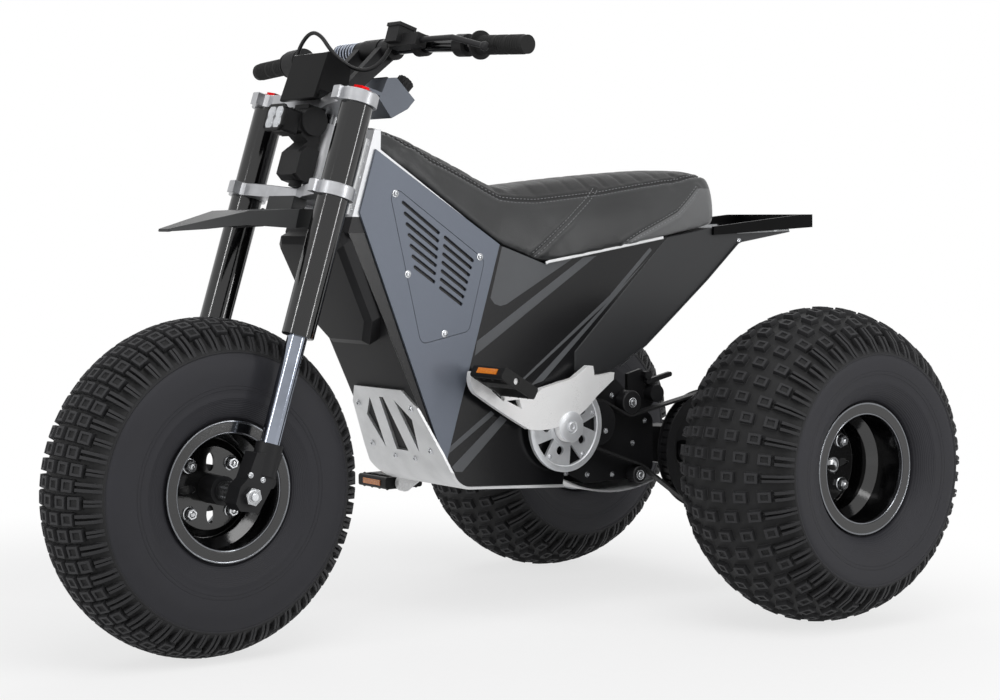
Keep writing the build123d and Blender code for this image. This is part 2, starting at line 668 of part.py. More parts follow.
DISC_WINDOWS = 5
DISC_RING = 12.0
window_in = HUB_CAP_RADIUS + 5
window_out = DISC_RADIUS - DISC_RING
with BuildPart() as spoked_disc:
    with BuildSketch(Plane.XZ.offset(-CRANK_PLANE_Y)):
        with Locations((CRANK_X, CRANK_Z)):
            Circle(DISC_RADIUS)
            Circle(CRANK_SPINDLE_RADIUS + SEAT_GAP, mode=Mode.SUBTRACT)
            with PolarLocations(DISC_RADIUS * 0.55, DISC_WINDOWS):
                Circle(8, mode=Mode.SUBTRACT)
            with PolarLocations((window_out + window_in) / 2, DISC_WINDOWS, start_angle=180 / DISC_WINDOWS):
                Trapezoid(30, window_out - window_in, 68, rotation=90, mode=Mode.SUBTRACT)
    extrude(amount=-CRANK_DISC_SHEET)
    with BuildSketch(Plane.XZ.offset(-CRANK_PLANE_Y - CRANK_DISC_SHEET)):
        with Locations((CRANK_X, CRANK_Z)):
            Circle(HUB_CAP_RADIUS)
            Circle(CRANK_SPINDLE_RADIUS + SEAT_GAP, mode=Mode.SUBTRACT)
    extrude(amount=-(ARM_Y - ARM_THICKNESS - CRANK_PLANE_Y - CRANK_DISC_SHEET))
save("spoked_disc", spoked_disc.part)

pedal_front = PEDAL_DEPTH / 2 - PEDAL_SETBACK
pedal_rear = -PEDAL_DEPTH / 2 - PEDAL_SETBACK
bearing_wall = PEDAL_SPINDLE_RADIUS + 3
pedal_set = ((1, LEFT_PEDAL, PEDAL_TILT, "left_pedal"), (-1, RIGHT_PEDAL, 0, "right_pedal"))
for side, spindle, tilt, name in pedal_set:
    # local x to the platform's front edge, local y through its thickness
    pedal_plane = Plane(
        origin=(spindle[0], side * (ARM_Y + PEDAL_GAP), spindle[1]),
        x_dir=(cos(radians(tilt)), 0, sin(radians(tilt))),
        z_dir=(0, side, 0),
    )
    with BuildPart() as pedal:
        with BuildSketch(pedal_plane):
            with Locations((-PEDAL_SETBACK, 0)):
                RectangleRounded(PEDAL_DEPTH, PEDAL_THICKNESS, 5)
            Circle(PEDAL_SPINDLE_RADIUS + RUNNING_FIT, mode=Mode.SUBTRACT)
        extrude(amount=PEDAL_LENGTH)
        for low, high in ((pedal_rear + PEDAL_WALL, -bearing_wall), (bearing_wall, pedal_front - PEDAL_WALL)):
            with BuildSketch(pedal_plane.offset(PEDAL_LENGTH / 2)):
                with Locations(((low + high) / 2, 0)):
                    Rectangle(high - low, PEDAL_THICKNESS)
            extrude(amount=PEDAL_LENGTH / 2 - PEDAL_WALL, both=True, mode=Mode.SUBTRACT)
    save(name, pedal.part)

# ================================================================ wheels
REAR_WHEEL_Y = REAR_TRACK / 2
TYRE_BEAD_RADIUS = 118.0


SIDEWALL_RADIUS = 190.0  # where a tyre is widest
FRONT_TYRE_FULLNESS = 2.13  # how square the crown's section is
REAR_TYRE_FULLNESS = 1.78
LUG_REACH = 0.84  # share of the half width that the lugs cover


def tread_radius(share, fullness):
    """Radius at the lugs' tips at a share of the half width."""
    return SIDEWALL_RADIUS + (TYRE_RADIUS - SIDEWALL_RADIUS) * (1 - share**fullness) ** (1 / fullness)


def faceted_ring(section, x, y, z):
    """Ring of flat facets round an axle at (x, z), from the section's corners as (radius, offset)."""
    step = radians(360 / LUGS_PER_ROW)
    facets = []
    for start, end in zip(section, section[1:] + section[:1]):
        for facet in range(LUGS_PER_ROW):
            first, last = (facet - 0.5) * step, (facet + 0.5) * step
            corners = ((start, first), (end, first), (end, last), (start, last))
            facets.append(
                Face(Wire.make_polygon([(x + r * cos(turn), y + dy, z + r * sin(turn)) for (r, dy), turn in corners]))
            )
    return Solid(Shell(facets))


def tyre_solid(y_middle, width, rim_width, fullness, x, z):
    """Tyre of flat facets with two staggered rows of cross lugs."""
    half = width / 2
    seat_half = rim_width / 2 - RIM_SHEET - SEAT_GAP
    bore = (RIM_SEAT_RADIUS + SEAT_GAP) / cos(radians(180 / LUGS_PER_ROW))
    left = [(bore, seat_half), (TYRE_BEAD_RADIUS, seat_half), (SIDEWALL_RADIUS, half)]
    left += [(tread_radius(share, fullness) - LUG_HEIGHT, half * share) for share in (0.88, 0.4)]
    carcass = faceted_ring(left + [(radius, -offset) for radius, offset in reversed(left)], x, y_middle, z)
    with BuildPart() as tyre:
        add(carcass)
        for side in (-1, 1):
            tops = [(tread_radius(share, fullness), side * half * share) for share in (0.03, 0.4, LUG_REACH)]
            roots = [(tops[-1][0] - LUG_HEIGHT * 2, tops[-1][1]), (tops[0][0] - LUG_HEIGHT * 2, tops[0][1])]
            for lug in range(LUGS_PER_ROW):
                turn = radians(360 / LUGS_PER_ROW) * (lug + (0.5 if side < 0 else 0))
                # local x out from the axle, local y along it
                out = Vector(cos(turn), 0, sin(turn))
                with BuildSketch(Plane(origin=(x, y_middle, z), x_dir=out, z_dir=(-out.Z, 0, out.X))):
                    with BuildLine():
                        Polyline(*tops, *roots, close=True)
                    make_face()
        extrude(amount=LUG_WIDTH / 2, both=True)
    return tyre.part


def rim_solid(y_middle, width, disc_outer_y, disc_side, x, z, bore):
    """Steel rim: barrel with a drop centre and two lips, and a dished centre disc with four slots."""
    half = width / 2
    well = width * 0.16
    slope = RIM_SEAT_RADIUS - RIM_WELL_RADIUS
    with BuildPart() as rim:
        with BuildSketch(Plane.XY.offset(z)):
            with BuildLine():
                outside = [
                    (RIM_LIP_RADIUS, half), (RIM_LIP_RADIUS, half - RIM_SHEET),
                    (RIM_SEAT_RADIUS, half - RIM_SHEET),
                    (RIM_SEAT_RADIUS, well + slope), (RIM_WELL_RADIUS, well),
                ]
                inside = [
                    (RIM_WELL_RADIUS - RIM_SHEET, well - 2), (RIM_SEAT_RADIUS - RIM_SHEET, well + slope - 2),
                    (RIM_SEAT_RADIUS - RIM_SHEET, half),
                ]
                section = outside + [(r, -y) for r, y in reversed(outside)]
                section += [(r, -y) for r, y in reversed(inside)] + inside
                Polyline(*[(x + r, y_middle + y) for r, y in section], close=True)
            make_face()
            with BuildLine():
                rim_seam = RIM_WELL_RADIUS - RIM_SHEET + 1
                dish = [(bore, 0), (68, 0), (rim_seam, 14), (rim_seam, 19), (66, RIM_SHEET), (bore, RIM_SHEET)]
                Polyline(*[(x + r, disc_outer_y - disc_side * depth) for r, depth in dish], close=True)
            make_face()
        revolve(axis=Axis((x, 0, z), (0, 1, 0)))
        with BuildSketch(Plane.XZ.offset(-disc_outer_y)):
            with Locations((x, z)):
                with PolarLocations(DISC_SLOT_RADIUS, 4, start_angle=0):
                    Ellipse(DISC_SLOT_REACH, 7)
        extrude(amount=disc_side * RIM_SHEET, both=True, mode=Mode.SUBTRACT)
    return rim.part


rear_disc_y = REAR_WHEEL_Y + REAR_RIM_WIDTH / 2 - REAR_DISC_INSET
for side, name in ((1, "left"), (-1, "right")):
    tyre = tyre_solid(
        side * REAR_WHEEL_Y, REAR_TYRE_WIDTH, REAR_RIM_WIDTH, REAR_TYRE_FULLNESS, REAR_AXLE_X, AXLE_Z,
    )
    save("rear_tyre_" + name, tyre)
    rim = rim_solid(
        side * REAR_WHEEL_Y, REAR_RIM_WIDTH, side * rear_disc_y, side, REAR_AXLE_X, AXLE_Z,
        REAR_AXLE_RADIUS + SEAT_GAP,
    )
    save("rear_rim_" + name, rim)

with BuildPart() as rear_hubs:
    with BuildSketch(Plane.XZ.offset(-(rear_disc_y - RIM_SHEET))):
        with Locations((REAR_AXLE_X, AXLE_Z)):
            Circle(HUB_RADIUS - 8)
            Circle(REAR_AXLE_RADIUS + SEAT_GAP, mode=Mode.SUBTRACT)
    extrude(amount=70)
    mirror(about=Plane.XZ)
save("rear_hubs", rear_hubs.part)

with BuildPart() as rear_axle:
    with BuildSketch(Plane.XZ):
        with Locations((REAR_AXLE_X, AXLE_Z)):
            Circle(REAR_AXLE_RADIUS)
    extrude(amount=rear_disc_y + 20, both=True)
    chamfer(rear_axle.edges().filter_by(GeomType.CIRCLE), 2)
save("rear_axle", rear_axle.part)

PULLEY_FLANGE = 6.0  # flange's reach above the teeth
PULLEY_SIDE = 2.5
PULLEY_IN_Y = DRIVE_FACE_Y - BELT_WIDTH - PULLEY_SIDE - 1
PULLEY_OUT_Y = DRIVE_FACE_Y + PULLEY_SIDE + 1
PULLEY_MIDDLE_Y = (PULLEY_IN_Y + PULLEY_OUT_Y) / 2
with BuildPart() as drive_pulley:
    with BuildSketch(Plane.XZ.offset(-PULLEY_IN_Y)):
        with Locations((REAR_AXLE_X, AXLE_Z)):
            Circle(PULLEY_TOOTH_RADIUS)
            Circle(PULLEY_TOOTH_RADIUS - 12, mode=Mode.SUBTRACT)
            with PolarLocations(PULLEY_TOOTH_RADIUS, PULLEY_TEETH):
                Rectangle(6, 5, mode=Mode.SUBTRACT)
    extrude(amount=PULLEY_IN_Y - PULLEY_OUT_Y)
    for flange_y in (PULLEY_IN_Y, PULLEY_OUT_Y - PULLEY_SIDE):
        with BuildSketch(Plane.XZ.offset(-flange_y)):
            with Locations((REAR_AXLE_X, AXLE_Z)):
                Circle(PULLEY_TOOTH_RADIUS + PULLEY_FLANGE)
                Circle(PULLEY_TOOTH_RADIUS - 12, mode=Mode.SUBTRACT)
        extrude(amount=-PULLEY_SIDE)
    with BuildSketch(Plane.XZ.offset(-PULLEY_MIDDLE_Y)):
        with Locations((REAR_AXLE_X, AXLE_Z)):
            Circle(PULLEY_TOOTH_RADIUS - 11)
            with PolarLocations(63, DISC_WINDOWS):
                RectangleRounded(34, 42, 8, mode=Mode.SUBTRACT)
    extrude(amount=4, both=True)
    with BuildSketch(Plane.XZ.offset(-(CARRIER_HALF_WIDTH + 2))):
        with Locations((REAR_AXLE_X, AXLE_Z)):
            Circle(32)
    extrude(amount=CARRIER_HALF_WIDTH + 2 - PULLEY_OUT_Y)
    with BuildSketch(Plane.XZ):
        with Locations((REAR_AXLE_X, AXLE_Z)):
            Circle(REAR_AXLE_RADIUS + SEAT_GAP)
    extrude(amount=-PULLEY_OUT_Y - 1, mode=Mode.SUBTRACT)
save("drive_pulley", drive_pulley.part)

front_disc_y = FRONT_RIM_WIDTH / 2 - FRONT_DISC_INSET
tyre = tyre_solid(0, FRONT_TYRE_WIDTH, FRONT_RIM_WIDTH, FRONT_TYRE_FULLNESS, FRONT_AXLE_X, AXLE_Z)
save("front_tyre", tyre)
save("front_rim", rim_solid(0, FRONT_RIM_WIDTH, front_disc_y, 1, FRONT_AXLE_X, AXLE_Z, HUB_RADIUS - 14))
HUB_BARREL_RADIUS = HUB_RADIUS - 14 - SEAT_GAP
with BuildPart() as front_hub:
    with BuildSketch(Plane.XZ.offset(-(front_disc_y - RIM_SHEET))):
        with Locations((FRONT_AXLE_X, AXLE_Z)):
            Circle(HUB_RADIUS)
    extrude(amount=60)
    with BuildSketch(Plane.XZ):
        with Locations((FRONT_AXLE_X, AXLE_Z)):
            Circle(HUB_BARREL_RADIUS)
    extrude(amount=70, both=True)
    with BuildSketch(Plane.XZ):
        with Locations((FRONT_AXLE_X, AXLE_Z)):
            Circle(FRONT_AXLE_RADIUS + RUNNING_FIT)
    extrude(amount=80, both=True, mode=Mode.SUBTRACT)
save("front_hub", front_hub.part)

# ================================================================ fork and steering
FORK_TOP = CLAMP_GAP + CLAMP_THICKNESS / 2
FORK_TUBE_END = -247.0
LUG_TOP = -425.0
LUG_HALF_WIDTH = 18.0
SLEEVE_WALL = 6.0
fork_spots = [(FORK_OFFSET, FORK_HALF_SPACING), (FORK_OFFSET, -FORK_HALF_SPACING)]

with BuildPart() as fork_tubes:
    with BuildSketch(STEER.offset(FORK_TOP)):
        with Locations(*fork_spots):
            Circle(FORK_TUBE_RADIUS)
    extrude(amount=FORK_TUBE_END - FORK_TOP)
    chamfer(fork_tubes.edges().filter_by(GeomType.CIRCLE), 1.5)
save("fork_tubes", fork_tubes.part)

with BuildPart() as fork_sliders:
    with BuildSketch(STEER.offset(FORK_TUBE_END)):
        with Locations(*fork_spots):
            Circle(SLIDER_RADIUS)
    extrude(amount=LUG_TOP - FORK_TUBE_END)
save("fork_sliders", fork_sliders.part)

with BuildPart() as fork_lugs:
    with BuildSketch(STEER.offset(LUG_TOP)):
        with Locations((FORK_OFFSET, FORK_HALF_SPACING)):
            Circle(SLIDER_RADIUS + SLEEVE_WALL)
    extrude(amount=-52)
    with BuildSketch(STEER_SIDE.offset(-FORK_HALF_SPACING)):
        with BuildLine():
            Polyline(
                (FORK_OFFSET - 18, LUG_TOP - 12), (FORK_OFFSET + 30, LUG_TOP - 20),
                (AXLE_LEAD + 14, -FORK_DROP + 24),
                (AXLE_LEAD + 23, -FORK_DROP + 10), (AXLE_LEAD + 23, -FORK_DROP - 18),
                (AXLE_LEAD + 12, -FORK_DROP - 27), (AXLE_LEAD - 22, -FORK_DROP - 22),
                (AXLE_LEAD - 32, -FORK_DROP + 14), close=True,
            )
        make_face()
    extrude(amount=LUG_HALF_WIDTH, both=True)
    with BuildSketch(STEER_SIDE.offset(-FORK_HALF_SPACING)):
        with BuildLine():
            Polyline(
                (FORK_OFFSET - 14, LUG_TOP - 8), (AXLE_LEAD - 46, -FORK_DROP + 38),
                (AXLE_LEAD - 46, -FORK_DROP + 22),
                (AXLE_LEAD - 34, -FORK_DROP + 16), (AXLE_LEAD - 14, -FORK_DROP + 16), close=True,
            )
        make_face()
        with Locations((AXLE_LEAD - 38, -FORK_DROP + 30)):
            Circle(10)
            Circle(4, mode=Mode.SUBTRACT)
    extrude(amount=5, both=True)
    with BuildSketch(STEER_SIDE.offset(-FORK_HALF_SPACING)):
        with Locations((AXLE_LEAD, -FORK_DROP)):
            Circle(FRONT_AXLE_RADIUS + SEAT_GAP)
    extrude(amount=LUG_HALF_WIDTH, both=True, mode=Mode.SUBTRACT)
    mirror(about=Plane.XZ)
save("fork_lugs", fork_lugs.part)

with BuildPart() as front_axle:
    with BuildSketch(STEER_SIDE):
        with Locations((AXLE_LEAD, -FORK_DROP)):
            Circle(FRONT_AXLE_RADIUS)
    extrude(amount=FORK_HALF_SPACING + LUG_HALF_WIDTH + 12, both=True)
    for side in (-1, 1):
        with BuildSketch(STEER_SIDE.offset(side * (FORK_HALF_SPACING - LUG_HALF_WIDTH))):
            with Locations((AXLE_LEAD, -FORK_DROP)):
                Circle(FRONT_AXLE_RADIUS + 7)
        extrude(amount=-side * (FORK_HALF_SPACING - LUG_HALF_WIDTH - 72))
        with BuildSketch(STEER_SIDE.offset(side * (FORK_HALF_SPACING + LUG_HALF_WIDTH))):
            with Locations((AXLE_LEAD, -FORK_DROP)):
                RegularPolygon(15, 6)
        extrude(amount=side * 10)
save("front_axle", front_axle.part)

EAR_REACH = 15.0
EAR_HALF = 9.0


def clamp_solid(height):
    """Fork clamp: two rings with pinch ears round the tubes, joined by arms to the stem's boss."""
    with BuildPart() as clamp:
        with BuildSketch(STEER.offset(height - CLAMP_THICKNESS / 2)):
            with BuildLine():
                Polyline(
                    (-5, 14), (25, 60), (38, 100), (40, FORK_HALF_SPACING), (70, FORK_HALF_SPACING),
                    (66, 100), (56, 60), (34, 0), (56, -60), (66, -100), (70, -FORK_HALF_SPACING),
                    (40, -FORK_HALF_SPACING), (38, -100), (25, -60), (-5, -14), close=True,
                )
            make_face()
            Circle(STEM_RADIUS + 5)
            with Locations(*fork_spots):
                Circle(FORK_TUBE_RADIUS + CLAMP_WALL)
            for side in (-1, 1):
                with Locations((FORK_OFFSET + FORK_TUBE_RADIUS, side * (FORK_HALF_SPACING - EAR_HALF))):
                    Rectangle(EAR_REACH * 2, EAR_HALF * 2)
            with Locations(*fork_spots):
                Circle(FORK_TUBE_RADIUS + SEAT_GAP, mode=Mode.SUBTRACT)
            Circle(STEM_RADIUS + SEAT_GAP, mode=Mode.SUBTRACT)
        extrude(amount=CLAMP_THICKNESS)
        outer_edges = clamp.faces().sort_by(Axis(STEER.origin, STEER.z_dir))[-1].outer_wire().edges()
        chamfer(outer_edges, 1.5)
    return clamp.part


save("lower_clamp", clamp_solid(0))
save("upper_clamp", clamp_solid(CLAMP_GAP))

STEM_NUT = 5.0
with BuildPart() as steering_stem:
    with BuildSketch(STEER.offset(-CLAMP_THICKNESS / 2)):
        Circle(STEM_RADIUS)
    extrude(amount=CLAMP_GAP + CLAMP_THICKNESS)
    with BuildSketch(STEER.offset(FORK_TOP)):
        RegularPolygon(STEM_RADIUS + 4, 6)
    extrude(amount=STEM_NUT)
save("steering_stem", steering_stem.part)

with BuildPart() as fork_caps:
    with BuildSketch(STEER.offset(FORK_TOP)):
        with Locations(*fork_spots):
            Circle(20)
    extrude(amount=4)
    with BuildSketch(STEER.offset(FORK_TOP + 4)):
        with Locations(*fork_spots):
            RegularPolygon(15, 6)
    extrude(amount=5)
save("fork_caps", fork_caps.part)

BAR_FORWARD = -51.0
BAR_UP = 288.0
BAR_END_FORWARD = -67.0
BAR_END_UP = 278.0
BAR_BEND = 130.0
GRIP_FLANGE_RADIUS = 24.0

with BuildPart() as handlebar:
    with BuildLine() as bar_line:
        FilletPolyline(
            head_point(BAR_END_FORWARD, -BAR_HALF_LENGTH, BAR_END_UP),
            head_point(BAR_FORWARD, -BAR_BEND, BAR_UP),
            head_point(BAR_FORWARD, BAR_BEND, BAR_UP),
            head_point(BAR_END_FORWARD, BAR_HALF_LENGTH, BAR_END_UP),
            radius=120,
        )
    with BuildSketch(bar_line.line ^ 0):
        Circle(BAR_RADIUS)
    sweep()
save("handlebar", handlebar.part)

bar_run = (
    Vector(*head_point(BAR_END_FORWARD, BAR_HALF_LENGTH, BAR_END_UP))
    - Vector(*head_point(BAR_FORWARD, BAR_BEND, BAR_UP))
).normalized()
grip_plane = Plane(origin=head_point(BAR_END_FORWARD, BAR_HALF_LENGTH, BAR_END_UP), z_dir=bar_run)

with BuildPart() as grips:
    with BuildSketch(grip_plane):
        Circle(GRIP_RADIUS)
    extrude(amount=2)
    with BuildSketch(grip_plane):
        Circle(GRIP_RADIUS)
        Circle(BAR_RADIUS + SEAT_GAP, mode=Mode.SUBTRACT)
    extrude(amount=-GRIP_LENGTH)
    with BuildSketch(grip_plane.offset(-GRIP_LENGTH)):
        Circle(GRIP_FLANGE_RADIUS)
        Circle(BAR_RADIUS + SEAT_GAP, mode=Mode.SUBTRACT)
    extrude(amount=4)
    mirror(about=Plane.XZ)
save("grips", grips.part)

RISER_Y = 34.0
with BuildPart() as bar_risers:
    with BuildSketch(STEER_SIDE.offset(-RISER_Y)):
        with BuildLine():
            Polyline((8, FORK_TOP), (32, FORK_TOP), (-36, 292), (-64, 292), (-66, 276), close=True)
        make_face()
        with Locations((BAR_FORWARD, BAR_UP)):
            Circle(BAR_RADIUS + 7)
            Circle(BAR_RADIUS + SEAT_GAP, mode=Mode.SUBTRACT)
    extrude(amount=8, both=True)
    mirror(about=Plane.XZ)
save("bar_risers", bar_risers.part)

PAD_RADIUS = 19.5
SLEEVE_RADIUS = 15.5
SLEEVE_RIBS = 5
with BuildPart() as bar_pad:
    for low, high in ((-25, 25), (43, 60)):
        with BuildSketch(STEER_SIDE.offset(-low)):
            with Locations((BAR_FORWARD, BAR_UP)):
                Circle(PAD_RADIUS)
                Circle(BAR_RADIUS + SEAT_GAP, mode=Mode.SUBTRACT)
        extrude(amount=-(high - low))
save("bar_pad", bar_pad.part)

with BuildPart() as bar_sleeve:
    with BuildSketch(STEER_SIDE.offset(112)):
        with Locations((BAR_FORWARD, BAR_UP)):
            Circle(SLEEVE_RADIUS - 3)
            Circle(BAR_RADIUS + SEAT_GAP, mode=Mode.SUBTRACT)
    extrude(amount=-69)
    for rib in range(SLEEVE_RIBS):
        with BuildSketch(STEER_SIDE.offset(112 - rib * 15)):
            with Locations((BAR_FORWARD, BAR_UP)):
                Circle(SLEEVE_RADIUS + 1.5)
                Circle(BAR_RADIUS + SEAT_GAP, mode=Mode.SUBTRACT)
        extrude(amount=-7)
save("bar_sleeve", bar_sleeve.part)

NACELLE_HALF = 55.0
with BuildPart() as nacelle:
    with BuildSketch(STEER_SIDE):
        with BuildLine():
            Polyline(
                (74, 240), (24, 225), (20, 199), (48, FORK_TOP), (72, FORK_TOP), (72, 154), (80, 154),
                close=True,
            )
        make_face()
    extrude(amount=NACELLE_HALF, both=True)
    chamfer(nacelle.faces().sort_by(Axis(STEER.origin, STEER.x_dir))[-1].edges(), 2)
save("nacelle", nacelle.part)

LAMP_BOX_TOP = CLAMP_GAP - CLAMP_THICKNESS / 2
LAMP_SEAT = 75.0  # back of the headlight, ahead of the steering axis
with BuildPart() as lamp_box:
    with BuildSketch(STEER_SIDE):
        with BuildLine():
            Polyline(
                (30, LAMP_BOX_TOP), (66, LAMP_BOX_TOP), (66, 123), (LAMP_SEAT, 123), (LAMP_SEAT, 101),
                (66, 101),
                (66, 96), (50, 88), (63, 70), (63, 26), (50, 20), (28, 20), (28, 88), close=True,
            )
        make_face()
    extrude(amount=22, both=True)
    with BuildSketch(STEER_SIDE):
        with Locations((50, 124)):
            Circle(25)
    extrude(amount=29, both=True)
    with BuildSketch(STEER_SIDE):
        with BuildLine():
            Polyline((30, 78), (54, 78), (63, 66), (63, 28), (50, 20), (28, 20), (28, 78), close=True)
        make_face()
    extrude(amount=31, both=True)
    with BuildSketch(STEER.offset(CLAMP_THICKNESS / 2)):
        with Locations((40, 0)):
            Circle(11)
    extrude(amount=10)
save("lamp_box", lamp_box.part)

LAMP_HALF = 21.0
with BuildPart() as headlight:
    with BuildSketch(STEER_SIDE):
        with Locations((LAMP_SEAT + 17, 112)):
            Rectangle(34, LAMP_HALF * 2)
    extrude(amount=LAMP_HALF, both=True)
    fillet(headlight.edges().filter_by(Axis(STEER.origin, STEER.x_dir)), radius=5)
    lamp_face = headlight.faces().sort_by(Axis(STEER.origin, STEER.x_dir))[-1]
    with BuildSketch(Plane(lamp_face)):
        RectangleRounded(LAMP_HALF * 2 - 8, LAMP_HALF * 2 - 8, 4)
    extrude(amount=-5, mode=Mode.SUBTRACT)
save("headlight", headlight.part)

DISPLAY_HALF = 40.0
with BuildPart() as display_box:
    with BuildSketch(STEER_SIDE):
        with BuildLine():
            Polyline(
                (-80, 247), (-128, 222), (-118, 202), (-90, 176), (-56, 200), (-56, 205), (-21, 205),
                (-21, 212), (-58, 212), (-62, 240), close=True,
            )
        make_face()
    extrude(amount=DISPLAY_HALF, both=True)
save("display_box", display_box.part)

KEY_RADIUS = 16.0
KEY_LENGTH = 20.0
KEY_RIBS = 14
slope = Vector(*head_point(-80, 0, 247)) - Vector(*head_point(-128, 0, 222))
with BuildPart() as key_switch:
    with BuildSketch(Plane(origin=head_point(-104, 20, 234.5), x_dir=slope, z_dir=(-slope.Z, 0, slope.X))):
        Circle(KEY_RADIUS)
        with PolarLocations(KEY_RADIUS + 0.5, KEY_RIBS):
            Circle(1.6, mode=Mode.SUBTRACT)
    extrude(amount=KEY_LENGTH)
save("key_switch", key_switch.part)

MASTER_FORWARD = BAR_FORWARD + 24
RESERVOIR_TOP = BAR_UP + 25
with BuildPart() as brake_master:
    with BuildSketch(STEER_SIDE.offset(-138)):
        with Locations((BAR_FORWARD - 0.5, BAR_UP)):
            Circle(BAR_RADIUS + 7)
            Circle(BAR_RADIUS + 1, mode=Mode.SUBTRACT)
    extrude(amount=10, both=True)
    with BuildSketch(STEER_SIDE.offset(-128)):
        with Locations((MASTER_FORWARD, BAR_UP)):
            Rectangle(22, 22)
    extrude(amount=40, both=True)
    with BuildSketch(STEER_SIDE.offset(-108)):
        with Locations((MASTER_FORWARD + 6, BAR_UP + 9)):
            Rectangle(32, 30)
    extrude(amount=17, both=True)
    with BuildSketch(STEER_SIDE.offset(-108)):
        with Locations((MASTER_FORWARD + 6, RESERVOIR_TOP)):
            Rectangle(36, 6)
    extrude(amount=19, both=True)
save("brake_master", brake_master.part)

with BuildPart() as brake_lever:
    with BuildLine() as lever_line:
        Polyline(
            head_point(MASTER_FORWARD, 168.3, BAR_UP), head_point(MASTER_FORWARD, 188, BAR_UP),
            head_point(MASTER_FORWARD + 5, 262, BAR_UP - 4), head_point(MASTER_FORWARD - 4, 345, BAR_UP - 22),
        )
    with BuildSketch(lever_line.line ^ 0):
        Circle(5)
    sweep(transition=Transition.ROUND)
    with Locations(head_point(MASTER_FORWARD - 4, 345, BAR_UP - 22)):
        Sphere(8)
save("brake_lever", brake_lever.part)

with BuildPart() as switch_pod:
    with BuildSketch(grip_plane.offset(-GRIP_LENGTH - 52)):
        Circle(19)
        with Locations((0, -12)):
            Rectangle(24, 18)
        Circle(BAR_RADIUS + SEAT_GAP, mode=Mode.SUBTRACT)
    extrude(amount=24)
save("switch_pod", switch_pod.part)

with BuildPart() as throttle_housing:
    with BuildSketch(grip_plane.offset(-GRIP_LENGTH - 48)):
        Circle(26)
        Circle(BAR_RADIUS + SEAT_GAP, mode=Mode.SUBTRACT)
    extrude(amount=44)
    chamfer(throttle_housing.faces().sort_by(Axis.Y)[-1].edges().sort_by(SortBy.LENGTH)[-1], 3)
    mirror(about=Plane.XZ, mode=Mode.REPLACE)
save("throttle_housing", throttle_housing.part)

FENDER_SHEET = 4.0
with BuildPart() as front_fender:
    with BuildSketch(STEER_SIDE):
        with BuildLine():
            Polyline(
                (28, -25), (75, -39), (147, -64), (260, -130), (257, -130 - FENDER_SHEET),
                (145, -64 - FENDER_SHEET), (74, -39 - FENDER_SHEET), (28, -25 - FENDER_SHEET), close=True,
            )
        make_face()
    extrude(amount=95, both=True)
    with BuildSketch(STEER.offset(-140)):
        with BuildLine():
            Polyline(
                (28, -85), (75, -92), (150, -60), (262, -15), (262, 15), (150, 60), (75, 92), (28, 85),
                close=True,
            )
        make_face()
    extrude(amount=130, mode=Mode.INTERSECT)
    with BuildSketch(STEER_SIDE):
        with BuildLine():
            Polyline((34, -CLAMP_THICKNESS / 2), (60, -CLAMP_THICKNESS / 2), (60, -36), (34, -30), close=True)
        make_face()
    extrude(amount=40, both=True)
save("front_fender", front_fender.part)

HOSE_RADIUS = 3.5
hose_route = [
    (-27, 84.2, 290), (-24, 80, 264), (-12, 66, 236), (6, 44, 230), (24, 22, 240), (42, 5, 256),
    (56, -14, 279), (62, -40, 286), (61, -66, 264), (56, -76, 226), (50, -86, 200), (50, -86, FORK_TOP + 0.2),
]


def route_radii(points, share=0.45):
    """Largest neat radius at each inner corner of a route."""
    radii = []
    for before, corner, after in zip(points, points[1:], points[2:]):
        run_in = corner - before
        run_out = after - corner
        half_turn = radians(run_in.get_angle(run_out)) / 2
        radii.append(share * min(run_in.length, run_out.length) * cos(half_turn) / sin(half_turn))
    return radii


with BuildPart() as brake_hose:
    hose_points = [Vector(*head_point(*point)) for point in hose_route]
    with BuildLine() as hose_line:
        FilletPolyline(*hose_points, radius=route_radii(hose_points))
    with BuildSketch(hose_line.line ^ 0):
        Circle(HOSE_RADIUS)
    sweep()
save("brake_hose", brake_hose.part)
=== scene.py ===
from math import cos, exp, hypot, pi, radians, sin

